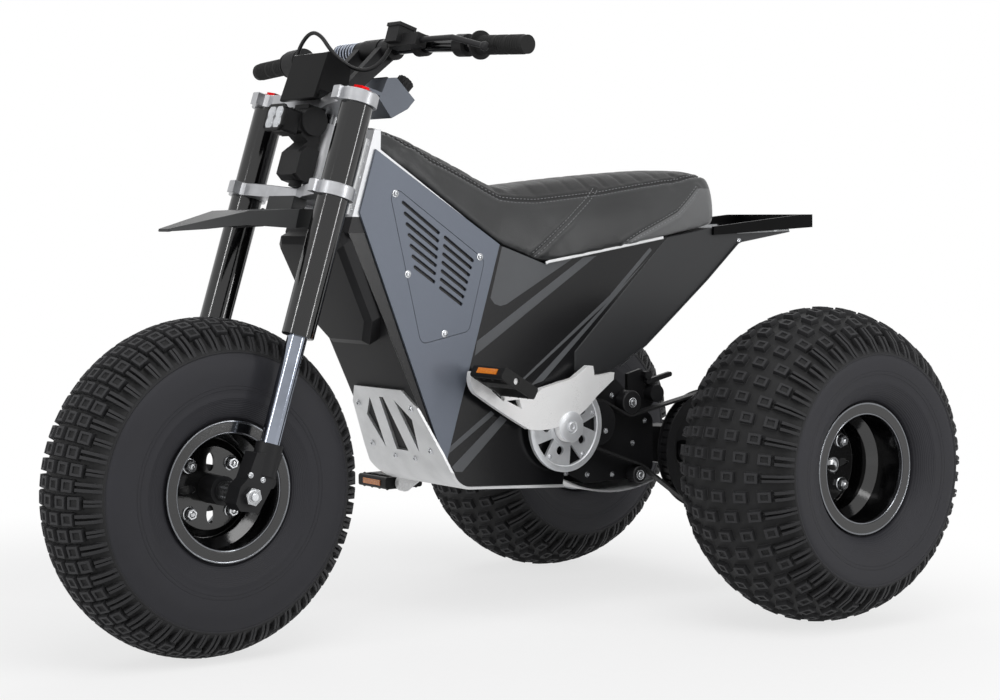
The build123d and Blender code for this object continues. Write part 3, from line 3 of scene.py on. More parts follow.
import bpy
from mathutils import Matrix, Vector
from mathutils.bvhtree import BVHTree
from mathutils.kdtree import KDTree
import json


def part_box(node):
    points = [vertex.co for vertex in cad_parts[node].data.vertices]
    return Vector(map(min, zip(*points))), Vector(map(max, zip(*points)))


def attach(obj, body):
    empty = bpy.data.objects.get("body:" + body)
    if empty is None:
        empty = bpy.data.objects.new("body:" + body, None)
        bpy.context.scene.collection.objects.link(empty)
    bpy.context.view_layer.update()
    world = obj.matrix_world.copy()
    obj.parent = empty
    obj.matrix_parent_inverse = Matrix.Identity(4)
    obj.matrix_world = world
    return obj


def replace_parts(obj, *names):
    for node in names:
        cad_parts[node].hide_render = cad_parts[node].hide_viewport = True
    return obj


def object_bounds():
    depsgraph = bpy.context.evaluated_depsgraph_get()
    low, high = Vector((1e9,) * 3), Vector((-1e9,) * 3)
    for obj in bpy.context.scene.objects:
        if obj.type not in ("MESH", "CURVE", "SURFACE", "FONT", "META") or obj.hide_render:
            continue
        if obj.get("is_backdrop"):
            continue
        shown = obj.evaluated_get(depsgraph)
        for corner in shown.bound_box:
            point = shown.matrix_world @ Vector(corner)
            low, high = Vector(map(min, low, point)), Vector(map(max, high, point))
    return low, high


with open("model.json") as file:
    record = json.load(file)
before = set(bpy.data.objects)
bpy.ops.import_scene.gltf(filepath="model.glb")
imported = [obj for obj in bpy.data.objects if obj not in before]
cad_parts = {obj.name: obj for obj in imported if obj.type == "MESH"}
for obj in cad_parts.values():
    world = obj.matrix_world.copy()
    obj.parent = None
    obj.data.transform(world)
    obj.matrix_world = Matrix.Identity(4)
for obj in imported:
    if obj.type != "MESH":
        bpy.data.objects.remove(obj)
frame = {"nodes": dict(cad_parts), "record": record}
nodes = frame["nodes"]
cad_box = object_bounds()

scene = bpy.context.scene

RAKE = radians(17.3)
HEAD = Vector((0.30401, 0, 0.750586))


def spoke(turn):
    """Way in the vehicle's middle plane, turned up from the front."""
    return Vector((cos(turn), 0, sin(turn)))


FORE = spoke(RAKE)
ALOFT = Vector((-sin(RAKE), 0, cos(RAKE)))
SIDE = Vector((0, 1, 0))
AXLES = {"front": Vector((0.52, 0, 0.2794)), "rear": Vector((-0.52, 0, 0.2794))}
AXLE_FORE, AXLE_ALOFT = 66.1, -514.1  # front axle in the steering head's frame


def at_head(fore, side, aloft):
    """Point in the steering head's own frame, from millimetres."""
    return HEAD + (FORE * fore + SIDE * side + ALOFT * aloft) / 1000


def mm(x, y, z):
    """Point from millimetres."""
    return Vector((x, y, z)) / 1000


def tone(red, green, blue):
    """Colour from its three display values, 0 to 255."""
    parts = []
    for part in (red / 255, green / 255, blue / 255):
        parts.append(part / 12.92 if part <= 0.04045 else ((part + 0.055) / 1.055) ** 2.4)
    return (*parts, 1.0)


def shade(colour, gain, lift=0.0):
    """The same colour, brighter or darker."""
    return tuple(c * gain + lift for c in colour[:3]) + (1.0,)


def placed(name, data):
    """New object of the scene."""
    made = bpy.data.objects.new(name, data)
    scene.collection.objects.link(made)
    return made


# ---------------------------------------------------------------- finishes


class Value:
    """A socket of a finish. Sums on it add their Math nodes."""

    def __init__(self, finish, socket):
        self.finish = finish
        self.socket = socket

    def sum(self, operation, *terms):
        """One Math node on these terms."""
        return self.finish.node("ShaderNodeMath", {"operation": operation}, dict(enumerate(terms)))

    def __add__(self, other):
        return self.sum("ADD", self, other)

    __radd__ = __add__

    def __sub__(self, other):
        return self.sum("SUBTRACT", self, other)

    def __rsub__(self, other):
        return self.sum("SUBTRACT", other, self)

    def __mul__(self, other):
        return self.sum("MULTIPLY", self, other)

    __rmul__ = __mul__

    def __pow__(self, other):
        return self.sum("POWER", self, other)

    def __abs__(self):
        return self.sum("ABSOLUTE", self)

    def low(self, other):
        return self.sum("MINIMUM", self, other)

    def high(self, other):
        return self.sum("MAXIMUM", self, other)

    def wave(self):
        return self.sum("SINE", self)

    def rise(self, start, end):
        """0 at start, 1 at end, smooth between them."""
        sockets = {"Value": self, "From Min": start, "From Max": end}
        return self.finish.node("ShaderNodeMapRange", {"interpolation_type": "SMOOTHSTEP"}, sockets)


class Finish:
    """One material, or the world, and the nodes that make it."""

    def __init__(self, name, world=None):
        self.material = world or bpy.data.materials.new(name)
        self.material.use_nodes = True
        self.tree = self.material.node_tree
        self.tree.nodes.clear()
        if world:
            return
        self.place = self.node("ShaderNodeTexCoord", output="Object")
        axes = [self.node("ShaderNodeSeparateXYZ", {}, {0: self.place}, output=i) for i in range(3)]
        self.x, self.y, self.z = axes

    def node(self, kind, settings=None, sockets=None, output=0):
        """Adds a node: its settings first, then the values and links of its sockets."""
        node = self.tree.nodes.new(kind)
        for key, setting in (settings or {}).items():
            setattr(node, key, setting)
        for key, value in (sockets or {}).items():
            if isinstance(value, Value):
                self.tree.links.new(value.socket, node.inputs[key])
            else:
                node.inputs[key].default_value = value
        return Value(self, node.outputs[output])

    def mix(self, share, first, second):
        """From the first colour at 0 to the second at 1."""
        return self.node("ShaderNodeMix", {"data_type": "RGBA"}, {0: share, 6: first, 7: second}, output=2)

    def noise(self, scale, detail, where=None):
        """Soft cloudy pattern, finer at a larger scale."""
        sockets = {"Vector": where or self.place, "Scale": scale, "Detail": detail}
        return self.node("ShaderNodeTexNoise", {}, sockets)

    def lines(self, x, y, z):
        """Noise of a different scale along each axis."""
        sockets = {0: self.place, 1: (x, y, z)}
        return self.noise(1, 2, self.node("ShaderNodeVectorMath", {"operation": "MULTIPLY"}, sockets))

    def cells(self, scale):
        """Pattern of small round cells."""
        return self.node("ShaderNodeTexVoronoi", {}, {"Vector": self.place, "Scale": scale})

    def rays(self, *kinds):
        """1 for each kind of light ray that meets the surface."""
        return [self.node("ShaderNodeLightPath", output=f"Is {kind} Ray") for kind in kinds]

    def mark(self, name):
        """A value that the mesh holds at its points."""
        return self.node("ShaderNodeAttribute", {"attribute_name": name}, output="Fac")

    def rounded(self, radius):
        """Normal with the sharp edges rounded."""
        return self.node("ShaderNodeBevel", {"samples": 4}, {"Radius": radius})

    def edge(self, radius):
        """1 along sharp edges, 0 on flats."""
        flat = self.node("ShaderNodeNewGeometry", output="Normal")
        turned = {0: self.rounded(radius), 1: flat}
        same = self.node("ShaderNodeVectorMath", {"operation": "DOT_PRODUCT"}, turned, output="Value")
        return (1 - same).rise(0.02, 0.25)

    def bump(self, height, distance, normal=None):
        """Normal raised by a height pattern, over another normal."""
        sockets = {"Height": height, "Distance": distance, "Strength": 1.0}
        if normal:
            sockets["Normal"] = normal
        return self.node("ShaderNodeBump", {}, sockets)

    def spread(self, axle):
        """Distance from an axle that runs across the vehicle."""
        return ((self.x - axle.x) ** 2 + (self.z - axle.z) ** 2) ** 0.5

    def inside(self, corners):
        """1 inside a convex outline of (x, z) corners in millimetres."""
        area = sum(a[0] * b[1] - b[0] * a[1] for a, b in zip(corners, corners[1:] + corners[:1]))
        reach = None
        for (ax, az), (bx, bz) in zip(corners, corners[1:] + corners[:1]):
            run = hypot(bx - ax, bz - az) * (1 if area > 0 else -1)
            nx, nz = (az - bz) / run, (bx - ax) / run
            far = self.x * nx + self.z * nz - (ax * nx + az * nz) / 1000
            reach = far if reach is None else reach.low(far)
        return reach.rise(-0.0005, 0.0005)

    def made(self, base, rough, height, distance, normal=None, shine=0.5, **others):
        """Closes the material: colour, roughness, and a height pattern raised over a normal."""
        sockets = {key.replace("_", " "): value for key, value in others.items()}
        sockets.update({"Base Color": base, "Roughness": rough, "Specular IOR Level": shine,
                        "Normal": self.bump(height, distance, normal)})
        self.node_out(self.node("ShaderNodeBsdfPrincipled", {}, sockets))
        return self.material

    def node_out(self, shader, kind="ShaderNodeOutputMaterial"):
        """Joins a shader to the output."""
        end = self.tree.nodes.new(kind)
        self.tree.links.new(shader.socket, end.inputs[0])


def powder_coat(name, colour):
    """Painted metal with a fine orange-peel skin, worn a little at its edges."""
    f = Finish(name)
    cloud = f.noise(9, 4)
    peel = f.noise(900, 2)
    wear = f.edge(0.0012) * f.noise(160, 3).rise(0.45, 0.62)
    paler = shade(colour, 1.35, 0.002)
    base = f.mix(wear * 0.6, f.mix(cloud.rise(0.35, 0.7), colour, paler), shade(colour, 2.2, 0.03))
    rough = 0.5 + cloud * 0.12 - 0.06 + peel * 0.06
    return f.made(base, rough, peel, 0.00012, f.rounded(0.0009), 0.3)


def moulded(name, colour, rough=0.6):
    """Matt moulded plastic with a spark-eroded grain."""
    f = Finish(name)
    grain = f.cells(1400)
    cloud = f.noise(14, 3)
    scuff = f.edge(0.001) * f.noise(220, 3).rise(0.4, 0.65)
    base = f.mix(scuff * 0.5, f.mix(cloud, colour, shade(colour, 1.3, 0.001)), shade(colour, 1.6, 0.02))
    return f.made(base, rough + cloud * 0.12 - 0.06, grain, 0.00018, f.rounded(0.0008), 0.28)


def bare_metal(name, colour, rough=0.3, lay=(2500, 60, 60), depth=0.00004, metal=1.0, dull=0.78):
    """Bare metal with fine tool lines along one way, and dull smears."""
    f = Finish(name)
    lines = f.lines(*lay)
    smear = f.noise(22, 4)
    base = f.mix(smear.rise(0.35, 0.75), colour, shade(colour, dull))
    rough = rough + lines * 0.14 + smear * 0.14 - 0.14
    return f.made(base, rough, lines, depth, f.rounded(0.0007), Metallic=metal)


def gloss_paint(name, colour, rough=0.12, shine=0.3):
    """Deep gloss lacquer with faint orange peel and dust."""
    f = Finish(name)
    peel = f.noise(240, 2)
    cloud = f.noise(11, 4)
    dust = f.noise(700, 3).rise(0.6, 0.8) * cloud.rise(0.45, 0.7)
    base = f.mix(dust * 0.35, colour, shade(colour, 1, 0.03))
    rough = rough + cloud * 0.1 - 0.05 + dust * 0.25
    return f.made(base, rough, peel, 0.00006, f.rounded(0.001), shine)


def striped_panel():
    """Gloss black sheet with grey stripes and a rounded grey field under the seat."""
    f = Finish("side_panel_striped")
    fields = [
        [(-29, 668), (-3, 579), (-12, 568), (-25, 564), (-39, 567), (-200, 650)],
        [(32, 479), (27, 504), (-214, 646), (-246, 649)],
        [(16, 466), (5, 471), (-254, 649), (-262, 653)],
        [(-68, 430), (-78, 432), (-285, 573), (-280, 578)],
        [(-284, 572), (-279, 578), (-375, 662), (-380, 657)],
        [(-91, 420), (-121, 428), (-370, 642)],
        [(91, 311), (87, 324), (-3, 381), (-11, 375)],
        [(82, 289), (75, 280), (60, 279), (-38, 363), (-24, 371)],
    ]
    mask = None
    for corners in fields:
        part = f.inside(corners)
        mask = part if mask is None else mask.high(part)
    cloud = f.noise(7, 4)
    peel = f.noise(300, 2)
    stripe = f.mix(cloud, tone(74, 76, 79), tone(96, 98, 101))
    dust = f.noise(800, 2).rise(0.62, 0.8)
    black = f.mix(dust * 0.25, tone(17, 17, 19), tone(52, 52, 54))
    rough = 0.2 + mask * 0.18 + cloud * 0.08
    return f.made(f.mix(mask, black, stripe), rough, peel + mask * 0.4, 0.00008, f.rounded(0.0012), 0.35)


def metallic_panel(name, colour, stripe=None, flake=0.35):
    """Satin metallic paint: fine flakes, faint orange peel, and every sharp edge painted brighter as a
    highlight.
    """
    f = Finish(name)
    flakes = f.cells(2600)
    cloud = f.noise(5, 4)
    peel = f.noise(500, 2)
    base = f.mix(flakes * 0.6 + cloud * 0.3, shade(colour, 0.8), shade(colour, 1.45, 0.004))
    # painted highlight: every sharp edge a quarter of the way to pale grey, the same all along
    base = f.mix(f.edge(0.001) * 0.25, base, tone(120, 122, 126))
    if stripe:
        base = f.mix(f.inside(stripe), base, tone(176, 178, 180))
    rough = 0.36 + cloud * 0.1 + flakes * 0.08
    return f.made(base, rough, peel, 0.0001, f.rounded(0.0011), Metallic=flake)


def tyre_rubber(name, axle, border):
    """Tread rubber with a smooth ringed sidewall; the block tops and every sharp edge are painted paler as a
    highlight, so it looks dull between the blocks.
    """
    f = Finish(name)
    reach = f.spread(axle)
    wall = 1 - reach.rise(border - 0.004, border + 0.002)
    grain = f.noise(1500, 3)
    cloud = f.noise(18, 4)
    rings = ((reach * 2200).wave() * 0.5 + 0.5) * (1 - reach.rise(0.150, 0.158))
    outer, inner = (1 - abs(reach - radius).rise(0.0004, 0.0009) for radius in (0.172, 0.166))
    base = f.mix(cloud.rise(0.3, 0.75), tone(23, 23, 24), tone(34, 34, 35))
    base = f.mix(wall, base, f.mix(cloud, tone(34, 34, 38), tone(46, 46, 51)))
    # painted highlight: the raised block tops are paler, standing in for light falling on them
    base = f.mix(f.mark("raised") * (0.55 + grain * 0.4), base, tone(50, 50, 52))
    # painted highlight: every sharp edge paler, the same all along
    base = f.mix(f.edge(0.0015) * 0.5, base, tone(78, 78, 80))
    skin = f.bump(grain * (1 - wall * 0.6), 0.00025, f.rounded(0.0012))
    rough = 0.56 + cloud * 0.16 - wall * 0.1 + grain * 0.06
    return f.made(base, rough, (rings * 0.35 + (outer + inner)) * wall, 0.0007, skin, 0.3)


def head_alloy():
    """Bright alloy beside the steering head, black powder coat below it."""
    f = Finish("head_alloy")
    lines = f.lines(90, 90, 2400)
    smear = f.noise(18, 4)
    behind_vents = f.inside([(219, 784), (12, 646), (47, 522), (150, 503)])
    bright = f.z.rise(0.7215, 0.7225) * (1 - behind_vents)
    coat = f.mix(smear, tone(18, 18, 20), tone(27, 27, 29))
    base = f.mix(bright, coat, f.mix(smear, tone(196, 197, 200), tone(224, 225, 227)))
    rough = 0.5 - bright * 0.08 + lines * 0.1
    return f.made(base, rough, lines, 0.00005, f.rounded(0.0008), Metallic=bright * 0.7)


def amber_plastic():
    """Amber reflector with small prisms under a clear coat."""
    f = Finish("amber_reflector")
    prisms = f.cells(420)
    tint = f.mix(prisms, tone(226, 104, 6), tone(255, 158, 30))
    return f.made(tint, 0.16 + prisms * 0.1, prisms, 0.0006, Coat_Weight=0.6, Coat_Roughness=0.05)


def lens_glass():
    """Clear lens with shallow flutes."""
    f = Finish("lamp_lens")
    flutes = f.noise(260, 1)
    tint = f.mix(flutes, tone(226, 230, 236), tone(250, 252, 255))
    return f.made(tint, 0.03 + flutes * 0.05, flutes, 0.0004, IOR=1.5, Alpha=0.16 + flutes * 0.1)


def seat_vinyl():
    """Grained vinyl: smooth sides, a porous top panel and a paler patch at each rear corner."""
    f = Finish("seat_vinyl")
    top, patch = (f.mark(name).rise(-0.0006, 0.0006) for name in ("top", "patch"))
    grain = f.cells(620)
    fine = f.noise(1700, 3)
    cloud = f.noise(6, 4)
    pores = f.noise(330, 4)
    side = f.mix(cloud.rise(0.3, 0.7), tone(33, 34, 35), tone(50, 51, 52))
    crown = f.mix(pores.rise(0.35, 0.65), tone(12, 12, 13), tone(25, 25, 26))
    pale = f.mix(cloud, tone(92, 93, 94), tone(108, 109, 110))
    base = f.mix(top, f.mix(patch, side, pale), crown)
    height = grain * (0.5 + top * 0.6) + fine * 0.25 + pores * top * 0.9
    rough = 0.37 + top * 0.25 + cloud * 0.1 - grain * 0.06
    return f.made(base, rough, height, 0.0004, Sheen_Weight=0.08, Sheen_Roughness=0.4)


def thread():
    """Twisted grey sewing thread."""
    f = Finish("seam_thread")
    twist = f.noise(2600, 2)
    base = f.mix(twist, tone(122, 123, 125), tone(168, 169, 171))
    return f.made(base, 0.7 + twist * 0.1, twist, 0.0003)


def woven_screen():
    """Fine black weave."""
    f = Finish("woven_screen")
    weave = (f.x * 3600).wave() * (f.z * 3600).wave()
    base = f.mix(weave.rise(-0.2, 0.6), tone(6, 6, 7), tone(22, 22, 23))
    return f.made(base, 0.6 + weave * 0.1, weave, 0.0005, shine=0.2)


finishes = {
    "black_metal": powder_coat("black_powder_coat", tone(17, 17, 19)),
    "silver_alloy": bare_metal("brushed_alloy", tone(222, 223, 224), 0.42, (90, 90, 2600), 0.00004, 0.7, 0.9),
    "black_case": moulded("black_moulding", tone(15, 15, 16)),
    "black_panel": striped_panel(),
    "grey_panel": metallic_panel("metallic_grey", tone(98, 104, 115)),
    "dark_panel": metallic_panel("satin_dark_grey", tone(35, 36, 38),
                                 [(-545, 697), (-730, 703), (-737, 690), (-600, 686)], 0.15),
    "seat_cover": moulded("seat_base", tone(40, 40, 41)),
    "fork_black": gloss_paint("gloss_black_tube", tone(5, 5, 6), 0.1, shine=0.7),
    "fork_chrome": bare_metal("hard_chrome", tone(150, 156, 168), 0.07, (1600, 1600, 12), 0.00001),
    "steel": bare_metal("turned_steel", tone(160, 161, 163), 0.26, (60, 2600, 60)),
    "red_caps": bare_metal("red_anodised", tone(196, 22, 24), 0.28, (900, 900, 900)),
    "grip_rubber": moulded("ribbed_grip_rubber", tone(20, 20, 20), 0.7),
    "lamp": moulded("lamp_housing", tone(17, 17, 18), 0.4),
    "grey_case": metallic_panel("satin_grey_case", tone(92, 97, 106)),
    "hose_rubber": moulded("hose_jacket", tone(17, 17, 18), 0.4),
    "belt_rubber": moulded("belt_rubber", tone(25, 25, 26), 0.62),
    "rim_black": gloss_paint("gloss_black_rim", tone(12, 12, 13), 0.1, shine=0.8),
    "polished_alloy": bare_metal("polished_alloy", tone(228, 230, 233), 0.34, (700, 40, 700), 0.00003, 0.4),
    "pedal_black": moulded("pedal_plastic", tone(16, 16, 16), 0.55),
    "head_alloy": head_alloy(),
    # painted highlight: the crank arms get a pure white, almost non-metal colour that stands in for the glare
    # on their polished alloy
    "arm_alloy": bare_metal("polished_arm_painted_glare", tone(255, 255, 255), 0.3, (600, 40, 600), 0.00003, 0.1, 0.96),
    "nacelle_black": gloss_paint("nacelle_black", tone(5, 5, 6), 0.35, shine=0.08),
    "clamp_alloy": bare_metal("clamp_alloy", tone(186, 187, 190), 0.36, (90, 2600, 90), 0.00004, 0.8),
    "fender_grey": metallic_panel("fender_grey", tone(24, 25, 26)),
    "bright_bolt": bare_metal("bright_bolt", tone(214, 216, 219), 0.22, (900, 900, 900), 0.00002, 0.85),
    "rim_edge": bare_metal("turned_rim_edge", tone(128, 130, 134), 0.18, (900, 900, 900), 0.00001, 0.9),
    "front_rubber": tyre_rubber("front_tyre_rubber", AXLES["front"], 0.226),
    "rear_rubber": tyre_rubber("rear_tyre_rubber", AXLES["rear"], 0.202),
    "screen_glass": gloss_paint("screen_glass", tone(8, 9, 12), 0.05),
    "amber": amber_plastic(),
    "lens": lens_glass(),
    "weave": woven_screen(),
    "thread": thread(),
    "vinyl": seat_vinyl(),
}
other_finish = {"head_frame": "head_alloy", "crank_arms": "arm_alloy", "lower_clamp": "clamp_alloy",
                "upper_clamp": "clamp_alloy", "front_fender": "fender_grey", "front_cover": "black_metal",
                "nacelle": "nacelle_black", "tail_rack": "nacelle_black"}
slot_of = {part["node"]: part["material_slot"] for part in frame["record"]["subparts"]}
for name, node in nodes.items():
    finish = finishes.get(other_finish.get(name, slot_of[name]))
    if finish:
        node.data.materials.clear()
        node.data.materials.append(finish)


# ---------------------------------------------------------------- stage


def stage_and_lights():
    """Pale floor and world that show white, four soft lamps and the camera."""
    floor = Finish("pale_floor")
    far = ((floor.x - 0.2) ** 2 + (floor.y + 0.1) ** 2) ** 0.5
    camera_ray, glossy_ray = floor.rays("Camera", "Glossy")
    seen = camera_ray.high(glossy_ray)
    speck = floor.noise(60, 3)
    pale = floor.mix(speck, tone(238, 238, 239), tone(243, 243, 243))
    matt = floor.node("ShaderNodeBsdfDiffuse", {}, {"Color": pale})
    white = floor.node("ShaderNodeEmission", {}, {"Color": (1, 1, 1, 1), "Strength": 1.0})
    share = (0.72 + far.rise(0.75, 1.7) * 0.28) * seen
    floor.node_out(floor.node("ShaderNodeMixShader", {}, {0: share, 1: matt, 2: white}))
    mesh = bpy.data.meshes.new("floor")
    corners = [(x * 14, y * 14, -0.0004) for x, y in ((-1, -1), (1, -1), (1, 1), (-1, 1))]
    mesh.from_pydata(corners, [], [(0, 1, 2, 3)])
    mesh.materials.append(floor.material)
    placed("floor", mesh)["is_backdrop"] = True

    world = bpy.data.worlds.new("studio")
    scene.world = world
    sky = Finish("studio", world)
    camera_ray, glossy_ray, clear_ray = sky.rays("Camera", "Glossy", "Transmission")
    seen = camera_ray.high(glossy_ray * 0.9).high(clear_ray)
    strength = 0.3 + seen * 0.7
    back = sky.node("ShaderNodeBackground", {}, {"Color": (1, 1, 1, 1), "Strength": strength})
    sky.node_out(back, "ShaderNodeOutputWorld")

    lamps = [
        ("key_light", (0.9, 1.6, 3.2), (0, 0, 0.3), (2.2, 2.2), 48),
        ("left_light", (-1.5, 3.3, 1.3), (-0.2, 0.3, 0.5), (0.24, 2.4), 27),
        ("front_light", (3.6, 0.4, 1.2), (0.3, 0, 0.5), (0.2, 2.2), 26),
        ("back_light", (-1.6, -2.4, 2.4), (0, 0, 0.4), (1.6, 1.6), 20),
    ]
    for name, spot, aim, (wide, tall), power in lamps:
        lamp = bpy.data.lights.new(name, "AREA")
        lamp.shape = "RECTANGLE"
        lamp.size = wide
        lamp.size_y = tall
        lamp.energy = power
        holder = placed(name, lamp)
        holder.location = spot
        holder.rotation_euler = (Vector(aim) - Vector(spot)).to_track_quat("-Z", "Y").to_euler()

    view = bpy.data.cameras.new("camera")
    view.sensor_width = 36
    view.lens = 77.246
    view.shift_x = 0.0666
    view.shift_y = -0.13962
    view.clip_end = 60
    camera = placed("camera", view)
    right = Vector((-0.809666, 0.586879, -0.003847))
    up = Vector((-0.002766, 0.002739, 0.999992))
    ahead = Vector((-0.586885, -0.809670, 0.000594))
    turn = Matrix((right, up, -ahead)).transposed().to_4x4()
    camera.matrix_world = Matrix.Translation(mm(2282.50, 3082.74, 730.20)) @ turn
    scene.camera = camera
    scene.view_settings.view_transform = "Standard"


stage_and_lights()


# ---------------------------------------------------------------- shapes


class Shape:
    """Points and faces of one piece, gathered before its mesh is made."""

    def __init__(self):
        self.points = []
        self.faces = []
        self.raised = []

    def add(self, points, faces, raised=None):
        """Adds points and faces. Raised marks the points that stand out, for the finish, which paints them
        paler as a highlight.
        """
        base = len(self.points)
        self.raised += raised or [0.0] * len(points)
        self.points += [tuple(p) for p in points]
        self.faces += [tuple(base + i for i in face) for face in faces]

    def turned(self, spot, axis, line, steps=24):
        """Turns a line of (radius, height) pairs in millimetres round an axis."""
        axis = Vector(axis).normalized()
        aside = axis.orthogonal().normalized()
        other = axis.cross(aside)
        turns = [2 * pi * step / steps for step in range(steps)]
        ways = [aside * cos(turn) + other * sin(turn) for turn in turns]
        self.lofted([[spot + (way * radius + axis * height) / 1000 for way in ways]
                     for radius, height in line])

    def lofted(self, rings, first=False, last=False, raised=None):
        """Joins rings of points, and closes the end rings that are asked for."""
        count = len(rings[0])
        faces = []
        for row in range(len(rings) - 1):
            for i in range(count):
                a, b = row * count + i, row * count + (i + 1) % count
                faces.append((a, b, b + count, a + count))
        if first:
            faces.append(tuple(range(count))[::-1])
        if last:
            faces.append(tuple(range((len(rings) - 1) * count, len(rings) * count)))
        self.add([point for ring in rings for point in ring], faces, raised)

    def sheet(self, grid, spot):
        """Curved sheet of squares: spot gives its point at two shares from 0 to 1."""
        points, faces = [], []
        for i in range(grid + 1):
            for j in range(grid + 1):
                points.append(spot(i / grid, j / grid))
                if i and j:
                    a = i * (grid + 1) + j
                    faces.append((a, a - 1, a - grid - 2, a - grid - 1))
        self.add(points, faces)

    def piece(self, name, body, slot, finish=None, smooth=30):
        """Makes the mesh, smooth up to an angle, with its slot's finish or another, and rides it on a body."""
        mesh = bpy.data.meshes.new(name)
        mesh.from_pydata(self.points, [], self.faces)
        if any(self.raised):
            mesh.attributes.new("raised", "FLOAT", "POINT").data.foreach_set("value", self.raised)
        mesh.validate()
        mesh.materials.append(finishes[finish or slot])
        made = placed(name, mesh)
        mesh.shade_smooth()
        mesh.set_sharp_from_angle(angle=radians(smooth))
        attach(made, body)
        return made

    def bright_piece(self, name, body):
        """Piece of bright screws, nuts or caps."""
        self.piece(name, body, "steel", "bright_bolt", 35)


# ---------------------------------------------------------------- tyres


WIDEST = 190.0  # radius at which a tyre is widest
CROWN = 89.4  # height of the tread above it
DEPTH = 9.5  # how far the blocks stand above the carcass
DROP = 1.4  # how far the bare sidewall lies inside that line
BEAD = 71.5  # height of the sidewall, from the rim to its widest


def tread_line(half, fullness):
    """Points (offset, radius, arc length) of the block tips from the middle to the sidewall's widest."""
    line = []
    run = 0.0
    for step in range(161):
        turn = pi / 2 * step / 160
        share = sin(turn) ** (2 / fullness)
        radius = WIDEST + CROWN * max(0.0, 1 - share ** fullness) ** (1 / fullness)
        here = (half * share, radius)
        if line:
            run += hypot(here[0] - line[-1][0], here[1] - line[-1][1])
        line.append((*here, run))
    return line


def on_line(line, arc):
    """(offset, radius) and outward normal at an arc length."""
    side = -1 if arc < 0 else 1
    arc = abs(arc)
    for (y0, r0, a0), (y1, r1, a1) in zip(line, line[1:]):
        if a1 >= arc:
            share = (arc - a0) / max(a1 - a0, 1e-9)
            run = hypot(y1 - y0, r1 - r0)
            normal = ((r0 - r1) / run, (y1 - y0) / run)
            return side * (y0 + (y1 - y0) * share), r0 + (r1 - r0) * share, side * normal[0], normal[1]
    return side * line[-1][0], line[-1][1], side, 0.0


def tread_block(shape, axle, middle, line, turn, arc, wide, deep, high, dimple=True):
    """One block on the tread: deep runs round the tyre and wide across it."""
    y, radius, ny, nr = on_line(line, arc)
    ty, tr = nr, -ny
    out = Vector((sin(turn), 0, cos(turn)))
    round_ = Vector((cos(turn), 0, -sin(turn)))

    def spot(u, v, w):
        level = radius + v * tr + w * nr
        return axle + (out * level + round_ * u) / 1000 + SIDE * ((middle + y + v * ty + w * ny) / 1000)

    sizes = [(1.3, -high - 1.5, 0.0), (1.0, -0.4, 0.8)]
    if dimple:
        sizes = [(1.16, -high - 1.5, 0.0), (1.0, -0.6, 1.0), (0.62, -0.5, 1.0), (0.5, -3.4, 0.0)]
    corners = ((-1, -1), (1, -1), (1, 1), (-1, 1))
    rings = [[spot(cu * deep / 2 * size, cv * wide / 2 * size, w) for cu, cv in corners]
             for size, w, _ in sizes]
    shape.lofted(rings, last=True, raised=[mark for *_, mark in sizes for _ in corners])


def tyre(name, body, node, axle, middle, half, bead, fullness, rows, columns, block, shoulder, rubber):
    """Knobbly tyre: a smooth carcass, staggered rows of dimpled blocks and paired bars on its shoulders."""
    line = tread_line(half, fullness)
    border = shoulder[2]
    profile = []
    for y, radius, arc in line[::4]:
        _, _, ny, nr = on_line(line, arc)
        depth = DEPTH * (1 - min(1.0, max(0.0, (arc - border + 26) / 24)) ** 1.5)
        profile.append((y - ny * depth, radius - nr * depth))
    ridge = on_line(line, border)
    profile = [p for p in profile if p[1] > ridge[1] + 4]
    for arc, lift in ((border - 4, 0), (border - 2.5, 1.6), (border + 1, 1.8), (border + 2.5, 0)):
        y, radius, ny, nr = on_line(line, arc)
        profile.append((y + ny * (lift - 2), radius + nr * (lift - 2)))
    for y, radius, arc in line[::4]:
        if arc > border + 5:
            _, _, ny, nr = on_line(line, arc)
            profile.append((y - ny * DROP, radius - nr * DROP))
    profile[-1] = (half - DROP, WIDEST)
    for step in range(1, 25):
        turn = step / 24 * pi / 2
        lift = 1.0 if 8 <= step <= 9 else 0.0
        profile.append((bead + (half - DROP - bead) * cos(turn) + lift, WIDEST - BEAD * sin(turn)))
    profile += [(bead - 2, 112), (bead - 6, 104)]
    full = [(-y, r) for y, r in reversed(profile)] + profile[1:]
    shape = Shape()
    origin = axle + SIDE * (middle / 1000)
    shape.turned(origin, SIDE, [(r, y) for y, r in full], 144)
    deep, wide = block
    for row in range(rows):
        turn = 2 * pi * row / rows
        for arc in columns[row % 2]:
            tread_block(shape, axle, middle, line, turn, arc, wide, deep, 9)
        long_start, short_start, end = shoulder
        for side in (-1, 1):
            if row % 2:
                start, beside, steps, deep_bar = long_start, 0.019, 3, 5.0
            else:
                start, beside, steps, deep_bar = short_start, 0.013, 2, 4.2
            reach = end - 3 - start
            for way in (-1, 1):
                for part in range(steps):
                    arc = side * (start + reach * (part + 0.5) / steps)
                    tread_block(shape, axle, middle, line, turn + way * beside * 48 / rows * 1.3, arc,
                                reach / steps, deep_bar, 7, False)
    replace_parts(shape.piece(name, body, "tyre", rubber, 32), node)


